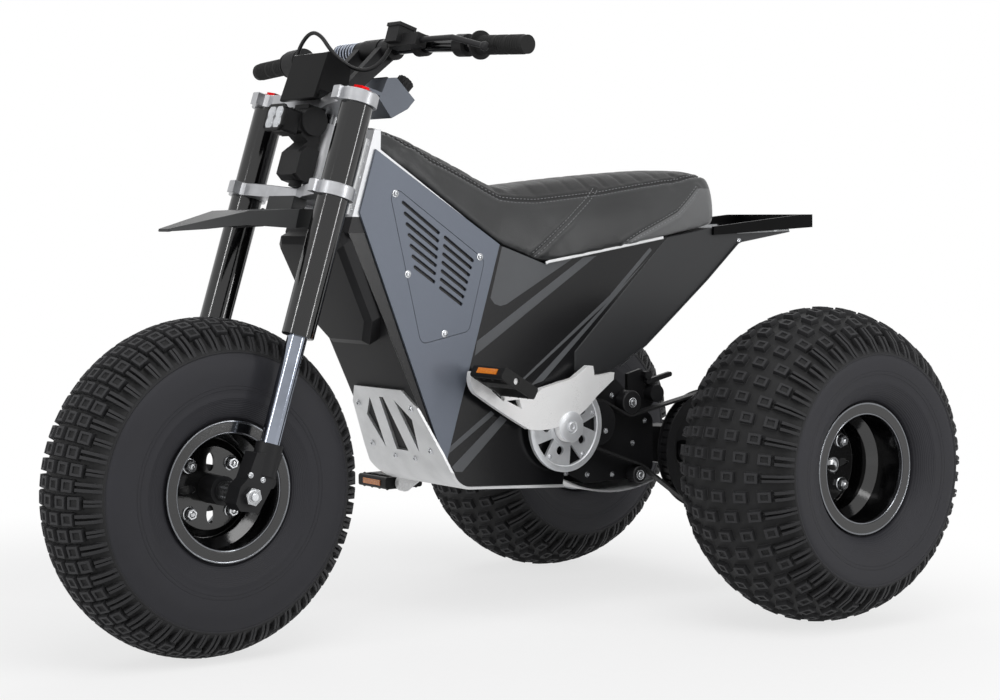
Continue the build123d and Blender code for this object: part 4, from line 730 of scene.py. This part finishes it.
FRONT_COLUMNS = ((0, -34, 34, -62, 62), (-17, 17, -48, 48))
REAR_COLUMNS = ((0, -44, 44, -88, 88), (-22, 22, -66, 66, -110, 110))
tyre("front_knobbly_tyre", "front_wheel", "front_tyre", AXLES["front"], 0, 99, 82, 2.13,
     64, FRONT_COLUMNS, (19, 21), (64, 80, 112), "front_rubber")
for side, hand in ((1, "left"), (-1, "right")):
    tyre("rear_knobbly_tyre_" + hand, "rear_wheels", "rear_tyre_" + hand, AXLES["rear"], side * 390, 138, 100,
         1.78, 48, REAR_COLUMNS, (17, 22), (128, 108, 165), "rear_rubber")


# ---------------------------------------------------------------- seat


def skin_of(mesh):
    """Surface of a mesh, for rays."""
    return BVHTree.FromPolygons([v.co for v in mesh.vertices], [tuple(p.vertices) for p in mesh.polygons])


def skin_at(name):
    """Surface of a CAD node."""
    return skin_of(nodes[name].data)


def cast(skin, start, way):
    """Point and normal where a ray meets a skin, or None."""
    spot, normal, _, _ = skin.ray_cast(Vector(start), Vector(way))
    return (spot, normal) if spot else None


def from_side(skin, x, z, hand=1):
    """Point and normal where a ray from beside the vehicle meets a skin, or None."""
    return cast(skin, mm(x, hand * 400, z), (0, -hand, 0))


def between(table, spot):
    """Value at a spot in a rising table of (spot, value) pairs."""
    table = sorted(table)
    if spot <= table[0][0]:
        return table[0][1]
    for (a, first), (b, last) in zip(table, table[1:]):
        if spot <= b:
            return first + (last - first) * (spot - a) / (b - a)
    return table[-1][1]


# the seat's lines, in millimetres along the vehicle: its top seam's height and half width, and its side seams
SEAM_HEIGHT = [(-570, 766), (-545, 788), (-494, 796), (-271, 767), (-119, 756), (-40, 758), (27, 780),
               (113, 814), (176, 848), (228, 862)]
RIM = [(-562, 0), (-560, 20), (-554, 38), (-536, 62), (-515, 73), (-494, 79), (113, 79), (176, 74), (214, 58),
       (232, 40)]
SLANT_LINE = [(-265, 769), (-205, 730), (-150, 690), (-96, 652)]
PATCH_LINE = [(-500, 772), (-439, 727), (-343, 688), (-306, 670)]
SEAT_VOXEL, SEAT_PRESSURE, SEAT_CAP = 0.0066, 4.0, 0.006  # the cap is how far the padding may swell
TOP_HALF = 79.0  # half width of the seat's top panel


def front_lift(x):
    """Extra height of the padding towards the seat's raised front."""
    return 8 * min(1.0, max(0.0, (x + 70) / 90))


def seat_blank():
    """Closed blank of the seat, section by section inside the moulded base."""
    base = skin_at("seat")
    sections = []
    low_end, high_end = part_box("seat")
    spots = [high_end[0] * 1000 - 3 - 8 * i for i in range(200)]
    spots = [x for x in spots if x > low_end[0] * 1000 + 2] + [low_end[0] * 1000 + 1.5]
    for x in spots:
        down = cast(base, (x / 1000, 0, 2), (0, 0, -1))
        rise = cast(base, (x / 1000, 0, 0), (0, 0, 1))
        if not down or not rise:
            continue
        top, bottom = down[0].z * 1000, rise[0].z * 1000
        side = cast(base, (x / 1000, 1, (top * 0.5 + bottom * 0.5) / 1000), (0, -1, 0))
        if side:
            sections.append((x, bottom, top, side[0].y * 1000))
    smooth = []
    for i, (x, *_) in enumerate(sections):
        near = sections[max(0, i - 2):i + 3]
        smooth.append((x, *[sum(s[k] for s in near) / len(near) for k in (1, 2, 3)]))
    smooth[0], smooth[-1] = sections[0], sections[-1]
    nose = [max(0.0, x - 175) / 55 for x, *_ in smooth]
    smooth = [(x + 4 * n, low - 1 * n, top + 2 * n + front_lift(x), half + 16 * n)
              for n, (x, low, top, half) in zip(nose, smooth)]
    shape = Shape()
    rings = []
    for x, bottom, top, half in smooth:
        seam_y = min(TOP_HALF, half * 0.78)
        seam_z = min(between(SEAM_HEIGHT, x) + front_lift(x), top - 3)
        seam_z = max(seam_z, bottom + (top - bottom) * 0.45)
        wall = seam_z - bottom
        outer = half - 3.5
        sy, sz = outer, bottom + min(10, wall * 0.25)
        cy, cz = outer + 1, bottom + wall * 0.72
        section = [(0, bottom + 2), (half * 0.5, bottom + 2), (half - 12, bottom + 2), (half - 6, bottom + 4),
                   (sy, sz)]
        for step in range(1, 7):
            t = step / 7
            y = (1 - t) ** 2 * sy + 2 * t * (1 - t) * cy + t * t * seam_y
            z = (1 - t) ** 2 * sz + 2 * t * (1 - t) * cz + t * t * seam_z
            section.append((y, z))
        section.append((seam_y, seam_z))
        for share in (0.82, 0.62, 0.4, 0.2):
            section.append((seam_y * share, seam_z + (top - 2 - seam_z) * (1 - share ** 2.2)))
        section.append((0, top - 2))
        ring = section + [(-y, z) for y, z in reversed(section[1:-1])]
        rings.append([mm(x, y, z) for y, z in ring])
    shape.lofted(rings)
    count = len(rings[0])
    for row, order in ((0, 1), (len(rings) - 1, -1)):
        shape.points.append(tuple(sum(rings[row], Vector()) / count))
        for i in range(count):
            a, b = row * count + i, row * count + (i + 1) % count
            shape.faces.append((len(shape.points) - 1, b, a)[::order])
    return shape


def as_built(thing):
    """Mesh of an object with its modifiers applied."""
    graph = bpy.context.evaluated_depsgraph_get()
    return bpy.data.meshes.new_from_object(thing.evaluated_get(graph))


def settled(shape):
    """Blows a closed skin out with cloth, keeping each point near where it began and the underside held."""
    mesh = bpy.data.meshes.new("blank")
    mesh.from_pydata(shape.points, [], shape.faces)
    blank = placed("blank", mesh)
    remesh = blank.modifiers.new("remesh", "REMESH")
    remesh.mode = "VOXEL"
    remesh.voxel_size = SEAT_VOXEL
    fine = as_built(blank)
    blank.modifiers.clear()
    blank.data = fine
    start = [v.co.copy() for v in fine.vertices]
    group = blank.vertex_groups.new(name="held")
    group.add([v.index for v in fine.vertices if v.normal.z < -0.6], 1.0, "REPLACE")
    cloth = blank.modifiers.new("cloth", "CLOTH")
    cloth.settings.use_pressure = True
    cloth.settings.uniform_pressure_force = SEAT_PRESSURE
    cloth.settings.effector_weights.gravity = 0
    cloth.settings.vertex_group_mass = "held"
    cloth.settings.quality = 3
    for number in range(1, 21):
        scene.frame_set(number)
    ends = [v.co.copy() for v in as_built(blank).vertices]
    blank.modifiers.clear()
    scene.frame_set(1)
    for vertex, first, last in zip(fine.vertices, start, ends):
        move = last - first
        if move.length > SEAT_CAP:
            move *= SEAT_CAP / move.length
        vertex.co = first + move
    divide = blank.modifiers.new("divide", "SUBSURF")
    divide.levels = divide.render_levels = 1
    done = as_built(blank)
    bpy.data.objects.remove(blank)
    return done


def seam_spots(skin, ends, way):
    """Points and normals every 2 mm along a line of ends that is laid on a skin along a way."""
    spots = []
    for first, last in zip(ends, ends[1:]):
        count = max(2, int((last - first).length / 0.002))
        for i in range(count):
            spot = first.lerp(last, i / count)
            hit = cast(skin, spot - Vector(way) * 0.5, way)
            if hit:
                spots.append(hit)
    return spots


STITCH_PITCH, STITCH_LENGTH, STITCH_RADIUS = 0.0075, 0.0048, 0.0007


def stitch_row(shape, spots, aside):
    """Thread stitches beside a seam, each a small tapered pad."""
    run, last_made = 0.0, -1.0
    for (a, normal), (b, _) in zip(spots, spots[1:]):
        along = b - a
        if along.length < 1e-6 or along.length > 0.02:
            continue
        run += along.length
        if run - last_made < STITCH_PITCH:
            continue
        last_made = run
        along.normalize()
        across = normal.cross(along).normalized()
        middle = a + across * aside + normal * 0.0003
        rings = []
        for place, size in ((-0.5, 0.25), (-0.36, 0.9), (0, 1.0), (0.36, 0.9), (0.5, 0.25)):
            ring = []
            for k in range(6):
                turn = pi * k / 3
                out = across * cos(turn) * STITCH_RADIUS * size
                out += normal * sin(turn) * STITCH_RADIUS * size
                ring.append(middle + along * place * STITCH_LENGTH + out)
            rings.append(ring)
        shape.lofted(rings, True, True)


def tree_of(spots):
    """Search tree of a seam's points."""
    tree = KDTree(len(spots))
    for number, (spot, _) in enumerate(spots):
        tree.insert(spot, number)
    tree.balance()
    return tree


def seat():
    """Padded cover with sunk seams, pleats across its top and two rows of stitches beside each seam."""
    done = settled(seat_blank())
    skin = skin_of(done)
    loop = [mm(x, y, 700) for x, y in reversed(RIM)] + [mm(x, -y, 700) for x, y in RIM]
    seams = [seam_spots(skin, loop, (0, 0, -1))]
    for hand in (1, -1):
        for line in (SLANT_LINE, PATCH_LINE):
            seams.append(seam_spots(skin, [mm(x, 0, z) for x, z in line], (0, -hand, 0)))
    tree, top_tree = tree_of(sum(seams, [])), tree_of(seams[0])
    top_values, patch_values, moved = [], [], []
    for vertex in done.vertices:
        point, normal = vertex.co, vertex.normal
        x, y, z = point * 1000
        _, _, gap = tree.find(point)
        sink = 0.0026 * exp(-(gap / 0.0035) ** 2) - 0.0011 * exp(-((gap - 0.009) / 0.005) ** 2)
        _, _, top_gap = top_tree.find(point)
        edge = between(RIM, x)
        within = abs(y) < edge and z > between(SEAM_HEIGHT, x) - 12 and normal.z > 0
        top_values.append(top_gap if within else -top_gap)
        line = between(PATCH_LINE, x)
        behind = line - z if x < -306 else -40
        patch_values.append(max(-0.04, min(0.04, behind / 1000)))
        if within:
            pleat = cos(pi * x / 42) ** 12 * min(1.0, (edge - abs(y)) / 14)
            sink += pleat * (0.0022 if x < -230 or x > 40 else 0.001)
        fold = sin(x * 0.055 + z * 0.03) * exp(-((x + 60) / 90) ** 2) * exp(-((z - 720) / 40) ** 2)
        moved += list(point - normal * (sink + fold * 0.0008 * (abs(y) > 85)))
    done.vertices.foreach_set("co", moved)
    done.update()
    for name, values in (("top", top_values), ("patch", patch_values)):
        done.attributes.new(name, "FLOAT", "POINT").data.foreach_set("value", values)
    done.shade_smooth()
    done.materials.clear()
    done.materials.append(finishes["vinyl"])
    cover = placed("seat_cover", done)
    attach(cover, "chassis")
    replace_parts(cover, "seat")
    stitches = Shape()
    for seam in seams:
        laid = [(spot - normal * 0.0002, normal) for spot, normal in seam]
        for aside in (-0.0042, 0.0042):
            stitch_row(stitches, laid, aside)
    stitches.piece("seat_stitching", "chassis", "seat_cover", "thread", 60)


seat()


# ---------------------------------------------------------------- brake hose

HOSE_ROUTE = [(-27, 84.2, 290), (-24, 80, 264), (-12, 66, 236), (6, 44, 230), (24, 22, 240), (42, 5, 256),
              (56, -14, 279), (62, -40, 286), (61, -66, 264), (56, -76, 226), (50, -86, 200),
              (50, -86, 172.2)]


def brake_hose():
    """Hose from the brake cylinder to the nacelle, on a smooth line through the route."""
    line = bpy.data.curves.new("brake_hose_line", "CURVE")
    line.dimensions = "3D"
    run = line.splines.new("NURBS")
    run.points.add(len(HOSE_ROUTE) - 1)
    for point, (fore, side, aloft) in zip(run.points, HOSE_ROUTE):
        point.co = (*at_head(fore, side, aloft), 1.0)
    run.order_u = 3
    run.use_endpoint_u = True
    run.resolution_u = 12
    line.bevel_depth = 0.0035
    line.bevel_resolution = 5
    line.use_fill_caps = True
    line.materials.append(finishes["hose_rubber"])
    hose = placed("brake_hose_line", line)
    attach(hose, "steering")
    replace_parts(hose, "brake_hose")
    tuple(at_head(*HOSE_ROUTE[0]))


brake_hose()

# ---------------------------------------------------------------- fastenings and trim


def screw(shape, spot, axis, radius):
    """Button-head screw with a socket, on a thin washer."""
    r = radius
    line = [(r * 1.4, -0.2), (r * 1.4, 0.7), (r * 1.25, 0.95), (r, 0.95), (r * 0.97, r * 0.3 + 0.9),
            (r * 0.8, r * 0.52 + 0.9), (r * 0.5, r * 0.6 + 0.9), (r * 0.47, r * 0.1 + 0.7),
            (0.01, r * 0.08 + 0.6)]
    shape.turned(spot, axis, line, 18)


def nut(shape, spot, axis, radius, high):
    """Hexagon nut with a chamfer and a stud's end."""
    line = [(radius, -0.3), (radius, high * 0.86), (radius * 0.88, high), (radius * 0.62, high)]
    shape.turned(spot, axis, line, 6)
    stud = [(radius * 0.62, high * 0.9), (radius * 0.45, high + 0.3), (radius * 0.45, high + 1.8),
            (radius * 0.3, high + 2.6), (0.01, high + 2.6)]
    shape.turned(spot, axis, stud, 14)


def strip(shape, path, across, wide, thick):
    """Bar with chamfered edges along a path of points: wide lies along across."""
    section = [(-1, -0.7), (-0.7, -1), (0.7, -1), (1, -0.7), (1, 0.7), (0.7, 1), (-0.7, 1), (-1, 0.7)]
    across = Vector(across).normalized()
    rings = []
    for i, spot in enumerate(path):
        ahead = (path[min(i + 1, len(path) - 1)] - path[max(i - 1, 0)]).normalized()
        up = ahead.cross(across).normalized()
        side = up.cross(ahead).normalized()
        rings.append([spot + side * (u * wide / 2000) + up * (v * thick / 2000) for u, v in section])
    shape.lofted(rings, True, True)


def body_screws():
    """Panel and skid plate screws."""
    panels = [skin_at(name) for name in ("upper_panels", "vent_plates", "tail_panels", "side_panels")]
    screws = Shape()
    for hand in (1, -1):
        for x, z, radius in ((202, 761, 4.6), (23, 651, 4.6), (177, 624, 4.6), (100, 520, 4.6),
                             (-603, 672, 3.6), (-700, 694, 3.4)):
            hits = [from_side(skin, x, z, hand) for skin in panels]
            hits = [hit for hit in hits if hit and hit[0].y * hand > 0.08]
            if hits:
                spot, normal = max(hits, key=lambda hit: hit[0].y * hand)
                screw(screws, spot, normal, radius)
    plate = skin_at("skid_plate")
    for side, z, radius in ((80, 392, 4.6), (88, 318, 4.6), (30, 300, 4)):
        for hand in (1, -1):
            screw(screws, *cast(plate, mm(700, side * hand, z), (-1, 0, 0)), radius)
    screws.bright_piece("body_screws", "chassis")


def head_brackets():
    """Bright angle strips in front of the upper panels, with a row of screws."""
    strips, screws = Shape(), Shape()
    for hand in (1, -1):
        top, foot = mm(244, hand * 88, 852), mm(284, hand * 88, 724)
        path = [top.lerp(foot, i / 8) for i in range(9)]
        strip(strips, path, FORE, 17, 5)
        inner = [p - SIDE * (hand * 0.012) + FORE * 0.0065 for p in path]
        strip(strips, inner, (0, 1, 0), 24, 3.5)
        for share in (0.08, 0.3, 0.5, 0.72, 0.92):
            screw(screws, top.lerp(foot, share) + SIDE * (hand * 0.0026), (0, hand, 0), 3.2)
    strips.piece("head_bracket_strips", "chassis", "silver_alloy")
    screws.bright_piece("head_bracket_screws", "chassis")


def panel_trim():
    """Bright strip along each side panel's top edge, and the bent lip under each tail panel."""
    top_edge = ((-124, 637.5), (-130, 640), (-200, 650), (-300, 665), (-404, 680.5))
    tail_edge = ((-300, 446), (-362, 482), (-440, 541), (-517, 600), (-598, 668), (-612, 672))
    for name, slot, ends, side, across, wide, thick in (
            ("side_panel_strips", "silver_alloy", top_edge, 103.2, (0, 0, 1), 5.5, 3.2),
            ("tail_panel_lips", "dark_panel", tail_edge, 101, (0, 1, 0), 5, 1.6)):
        trim = Shape()
        for hand in (1, -1):
            strip(trim, [mm(x, hand * side, z) for x, z in ends], across, wide, thick)
        trim.piece(name, "chassis", slot)


NUT_CIRCLE, RIVET_CIRCLE, BOLT_CIRCLE = 0.055, 0.0762, 0.0645


def wheel_nuts():
    """Four nuts on each wheel disc, and a valve in each rim."""
    for axle, body, faces in (("front", "front_wheel", ((26, 1),)),
                              ("rear", "rear_wheels", ((401, 1), (-401, -1)))):
        nuts = Shape()
        for offset, hand in faces:
            for k in range(4):
                turn = pi / 4 + k * pi / 2
                spot = AXLES[axle] + SIDE * (offset / 1000) + spoke(turn) * NUT_CIRCLE
                nuts.turned(spot, SIDE * hand, [(12.5, 0), (12.5, 1.4), (11, 2)], 24)
                nut(nuts, spot + SIDE * (hand * 0.0018), SIDE * hand, 10, 9)
        nuts.bright_piece(axle + "_wheel_nuts", body)
    for axle, offset, hand, body in (("front", 62, 1, "front_wheel"), ("rear", 470, 1, "rear_wheels"),
                                     ("rear", -470, -1, "rear_wheels")):
        valve = Shape()
        base = AXLES[axle] + SIDE * (offset / 1000) + Vector((0.094, 0, 0.008))
        stem = [(6, -2), (5.5, 5), (4, 8), (3.6, 22), (4.6, 22.5), (4.6, 31), (3.8, 33), (0.01, 33)]
        valve.turned(base, (-0.5, 0.86 * hand, 0), stem, 16)
        name = f"{axle}_valve_{'left' if offset > 0 else 'right'}"
        valve.piece(name, body, "grip_rubber", smooth=35)


def rim_lips():
    """Turned bright edge on each rim's lips, and a pressed ring inside the barrel."""
    for name, body, axle, middle, half in (("front_rim_lips", "front_wheel", "front", 0, 88),
                                           ("rear_rim_lips_left", "rear_wheels", "rear", 390, 106),
                                           ("rear_rim_lips_right", "rear_wheels", "rear", -390, 106)):
        lips = Shape()
        for hand in (1, -1):
            spot = AXLES[axle] + SIDE * ((middle + hand * half) / 1000)
            line = [(115.3, -2.6), (115.6, -0.8), (115.0, 0.5), (113.6, 0.9), (112.4, 0.4), (112.0, -0.4)]
            lips.turned(spot, SIDE * hand, line, 128)
            inner = [(97.4, -0.3), (97.2, 0.9), (95.8, 1.5), (94.6, 1.0), (94.2, -0.5), (94.4, -6)]
            lips.turned(spot - SIDE * (hand * 0.0015), SIDE * hand, inner, 128)
        lips.piece(name, body, "rim_black", "rim_edge", 40)


def axle_nuts():
    """Caps on the ends of both axles, and the pinch screws of the front one."""
    front_cap = [(12, -0.5), (10.5, 1.2), (7, 1.6), (6.5, 4.5), (5.5, 5.4), (0.01, 5.4)]
    rear_cap = [(11, -1), (11, 1), (8.5, 2.4), (5, 2.8), (2, 2.2), (0.01, 1.8)]
    for axle, body, line, reach in (("front", "steering", front_cap, 0.165),
                                    ("rear", "rear_wheels", rear_cap, 0.4205)):
        caps = Shape()
        for hand in (1, -1):
            caps.turned(AXLES[axle] + SIDE * (hand * reach), SIDE * hand, line, 24)
            for fore, aloft in ((-14, 30), (10, 32)) if axle == "front" else ():
                screw(caps, at_head(AXLE_FORE + fore, hand * 155.2, AXLE_ALOFT + aloft), SIDE * hand, 3.4)
        caps.bright_piece(f"{axle}_axle_caps", body)


def crank_detail():
    """Hub cap, raised rim with rivets, and bolts on the spoked disc."""
    hub = mm(-159.99, 0, 345.986)
    ring = Shape()
    face = hub + SIDE * 0.115
    ring.turned(face, SIDE, [(82, -0.4), (82, 1.1), (80.5, 1.8), (72, 1.8), (70.5, 0.6), (70.3, -0.3)], 96)
    ring.turned(face, SIDE, [(36, -0.3), (36, 1.0), (34, 1.6), (29, 1.6)], 64)
    for k in range(36):
        spot = face + spoke(2 * pi * k / 36) * RIVET_CIRCLE + SIDE * 0.0017
        ring.turned(spot, SIDE, [(1.9, -0.2), (1.8, 0.25), (0.9, -0.1), (0.01, -0.1)], 8)
    cap = hub + SIDE * 0.129
    ring.turned(cap, SIDE, [(27.5, -0.4), (27.2, 1.2), (25, 2.2), (12, 2.8), (10.5, 1.6), (8.6, 1.6),
                            (8.4, 4.6), (7.4, 5.4), (4, 5.4), (3.6, 3.4), (0.01, 3.2)], 48)
    ring.piece("crank_disc_rings", "crank", "polished_alloy")
    bolts = Shape()
    for k in range(5):
        screw(bolts, face + spoke(radians(90 + 72 * k)) * BOLT_CIRCLE, SIDE, 3.0)
    bolts.bright_piece("crank_disc_bolts", "crank")


def pedal_reflectors():
    """Amber reflectors and grip studs on each pedal."""
    for name, spindle, hand, tilt in (("left_pedal", (36, 442), 1, 30), ("right_pedal", (28, 235), -1, 0)):
        turn = radians(tilt)
        ahead = spoke(turn)
        up = Vector((-sin(turn), 0, cos(turn)))
        centre = mm(spindle[0], hand * 178, spindle[1])
        for way, reach in ((1, 33.0), (-1, 49.0)):
            glow = Shape()
            middle = centre + ahead * (way * reach / 1000)
            strip(glow, [middle + SIDE * (k * 0.0045 - 0.027) for k in range(13)], up, 10, 3.2)
            glow.piece(f"{name}_reflector_{'front' if way > 0 else 'rear'}", name, "pedal_black", "amber")
        studs = Shape()
        for side in (-37, -12, 12, 37):
            for along in (-40, 24):
                for face in (-1, 1):
                    spot = centre + SIDE * (side / 1000) + ahead * (along / 1000) + up * (face * 0.011)
                    studs.turned(spot, up * face, [(2.6, -0.3), (2.4, 1.4), (1.2, 2.2), (0.01, 2.3)], 10)
        studs.piece(f"{name}_studs", name, "pedal_black")


LAMP = 112  # height of the headlight's middle above the head's origin


def lamp_detail():
    """Clear lens, four bowls, a bezel and cooling fins on the headlight."""
    bowls, lens, bezel = Shape(), Shape(), Shape()
    bowl = [(11.5, 3.2), (8.7, 2.9), (6.2, 1.4), (3.8, 0.5), (2.4, 0.5), (2.2, 1.9), (1.3, 2.5), (0.01, 2.7)]
    for side in (-12, 12):
        for rise in (-9, 9):
            bowls.turned(at_head(109.2, side, LAMP + rise), FORE, bowl, 28)
    bowls.piece("headlight_bowls", "steering", "fork_chrome", "bright_bolt")

    def dome(i, j):
        u, v = i * 2 - 1, j * 2 - 1
        swell = 1.4 * (1 - u * u) * (1 - v * v) + 0.25 * sin(u * 9) * sin(v * 9)
        return at_head(112.4 + swell, u * 24, LAMP + v * 18)

    lens.sheet(12, dome)
    lens.piece("headlight_lens", "steering", "lamp", "lens", 60)
    corners = [(-20, -21), (20, -21), (27, -15), (27, 15), (20, 21), (-20, 21), (-27, 15), (-27, -15)]
    for (a, b), (c, d) in zip(corners, corners[1:] + corners[:1]):
        path = [at_head(110, a, LAMP + b).lerp(at_head(110, c, LAMP + d), k / 4) for k in range(5)]
        strip(bezel, path, FORE, 7, 5)
    backs = [at_head(108.4, side, LAMP) for side in (-25, -12, 0, 12, 25)]
    strip(bezel, backs, ALOFT, 40, 2)
    for side in (-24, 24):
        for rise in (-17, 17):
            screw(bezel, at_head(112.6, side, LAMP + rise), FORE, 1.9)
    for k in range(5):
        path = [at_head(76 + 4.6 * k, y, LAMP) for y in (-21.8, 0, 21.8)]
        for rise in (-20.6, 20.6):
            strip(bezel, [p + ALOFT * (rise / 1000) for p in path], FORE, 1.6, 3)
    bezel.piece("headlight_bezel", "steering", "lamp", "black_case")


def grip_ribs():
    """Ribs and an end plug on each grip."""
    ribs = Shape()
    inner, outer = at_head(-51, 130, 288), at_head(-67, 407, 278)
    for hand in (1, -1):
        a, b = (Vector((end.x, end.y * hand, end.z)) for end in (inner, outer))
        way = (b - a).normalized()
        start = b - way * 0.112
        for k in (k for k in range(17) if k not in (5, 10)):
            spot = start + way * (0.009 + 0.0057 * k)
            ribs.turned(spot, way, [(15.2, 0), (16.3, 0.6), (16.3, 3.0), (15.2, 3.6)], 40)
        ribs.turned(b, way, [(15.2, -2), (15.0, 0.4), (12, 1.0), (8.5, 0.6), (8.0, -0.2), (0.01, -0.2)], 32)
    ribs.piece("grip_ribs", "steering", "grip_rubber")


def bar_detail():
    """Pale rings round the bar sleeve, clamp screws and switch buttons."""
    coil = Shape()
    low, high = (Vector(end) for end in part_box("bar_sleeve"))
    sleeve = nodes["bar_sleeve"].data.vertices
    centre = sum((v.co for v in sleeve), Vector()) / len(sleeve)
    radius = (high.x - low.x) * 500
    for k in range(7):
        spot = Vector((centre.x, low.y + 0.006 + k * (high.y - low.y - 0.014) / 6, centre.z))
        coil.turned(spot, SIDE, [(radius - 1.5, -2.4), (radius + 0.9, -1.6), (radius + 1.2, 0),
                                 (radius + 0.9, 1.6), (radius - 1.5, 2.4)], 36)
    coil.piece("bar_sleeve_rings", "steering", "fork_chrome", smooth=40)
    screws = Shape()
    for hand in (1, -1):
        for aloft in (11, 172):
            screw(screws, at_head(70, hand * 137, aloft), ALOFT, 2.8)
    for side in (15, -15):
        screw(screws, at_head(-52, side, 173), ALOFT, 4)
    screws.bright_piece("clamp_screws", "steering")
    buttons = Shape()
    pod = skin_at("switch_pod")
    low, high = (Vector(end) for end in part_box("switch_pod"))
    middle = (low + high) / 2
    button = [(5.46, -0.3), (5.46, 1), (4.2, 1.2), (4.2, 2.6), (3.36, 3.2), (0.01, 3.2)]
    for rise in (0.008, -0.008):
        buttons.turned(*cast(pod, middle + Vector((-0.2, 0, rise)), (1, 0, 0)), button, 20)
    buttons.piece("switch_buttons", "steering", "red_caps", smooth=35)


def display_screen():
    """Dark screen glass with a thin frame, on the display box."""
    glass, rim = Shape(), Shape()
    box = skin_at("display_box")
    corners = []
    for fore, side in ((-70, -26), (-112, -26), (-112, 26), (-70, 26)):
        spot, normal = cast(box, at_head(fore, side, 420), -ALOFT)
        corners.append(spot + normal * 0.0008)

    def bowed(u, v):
        flat = corners[0].lerp(corners[1], u).lerp(corners[3].lerp(corners[2], u), v)
        return flat + ALOFT * 0.0012 * sin(pi * u) * sin(pi * v)

    glass.sheet(8, bowed)
    glass.piece("display_glass", "steering", "black_case", "screen_glass", 60)
    for p, q in zip(corners, corners[1:] + corners[:1]):
        strip(rim, [p.lerp(q, k / 4) for k in range(5)], ALOFT, 2.4, 3)
    rim.piece("display_rim", "steering", "black_case")


def fender_skirts():
    """Folded sides under the front fender's edges, and its screws."""
    skirts = Shape()
    top = [(28, 85, -25), (75, 92, -39), (147, 61, -64), (205, 38, -98), (258, 16, -129)]
    depth = [30, 33, 24, 15, 4]
    for hand in (1, -1):
        rings = []
        for (fore, side, aloft), deep in zip(top, depth):
            folds = ((0.4, -0.5), (3.4, -deep), (1.6, -deep - 0.6), (-1.6, -1.5))
            rings.append([at_head(fore, hand * (side + dy), aloft + dz) for dy, dz in folds])
        skirts.lofted(rings, True, True)
        for side in (62, 30):
            screw(skirts, at_head(52, hand * side, -33), ALOFT, 3)
    skirts.piece("front_fender_skirts", "steering", "dark_panel", "fender_grey")


def vent_screens():
    """Black woven screens behind the vents."""
    screens = Shape()
    (ax, az), (bx, bz), (cx, cz), (dx, dz) = (219, 776), (20, 644), (55, 530), (146, 512)
    for hand in (1, -1):

        def bowed(u, v):
            x = (ax * (1 - u) + bx * u) * (1 - v) + (dx * (1 - u) + cx * u) * v
            z = (az * (1 - u) + bz * u) * (1 - v) + (dz * (1 - u) + cz * u) * v
            bow = 2.0 * sin(pi * u) * sin(pi * v)
            return mm(x, hand * (95 - bow), z)

        screens.sheet(10, bowed)
    screens.piece("vent_screens", "chassis", "black_case", "weave", 60)


def drive_screws():
    """Casing screws on the motor and bright caps on the belt rollers."""
    screws = Shape()
    motor = skin_at("motor_unit")
    for x, z in ((-190, 256), (-240, 250), (-300, 246), (-350, 300), (-380, 340), (-395, 400), (-330, 420),
                 (-250, 424), (-262, 330), (-300, 390), (-215, 400), (-240, 290)):
        hit = from_side(motor, x, z)
        if hit and hit[1].y > 0.8:
            screw(screws, *hit, 3.6)
    rollers = skin_at("belt_tensioner")
    for x, z in ((-345, 244), (-327, 378)):
        cap = [(9, -0.3), (9, 1), (7.6, 1.8), (5, 1.8), (4.6, 3.4), (3, 4), (0.01, 4)]
        screws.turned(*from_side(rollers, x, z), cap, 24)
    screws.bright_piece("drive_screws", "chassis")


for fit in (body_screws, head_brackets, panel_trim, wheel_nuts, rim_lips, axle_nuts, crank_detail,
            pedal_reflectors, lamp_detail, grip_ribs, bar_detail, display_screen, fender_skirts, vent_screens,
            drive_screws):
    fit()


# ---------------------------------------------------------------- size

boxes = [[list(map(float, corner)) for corner in pair] for pair in (cad_box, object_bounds())]
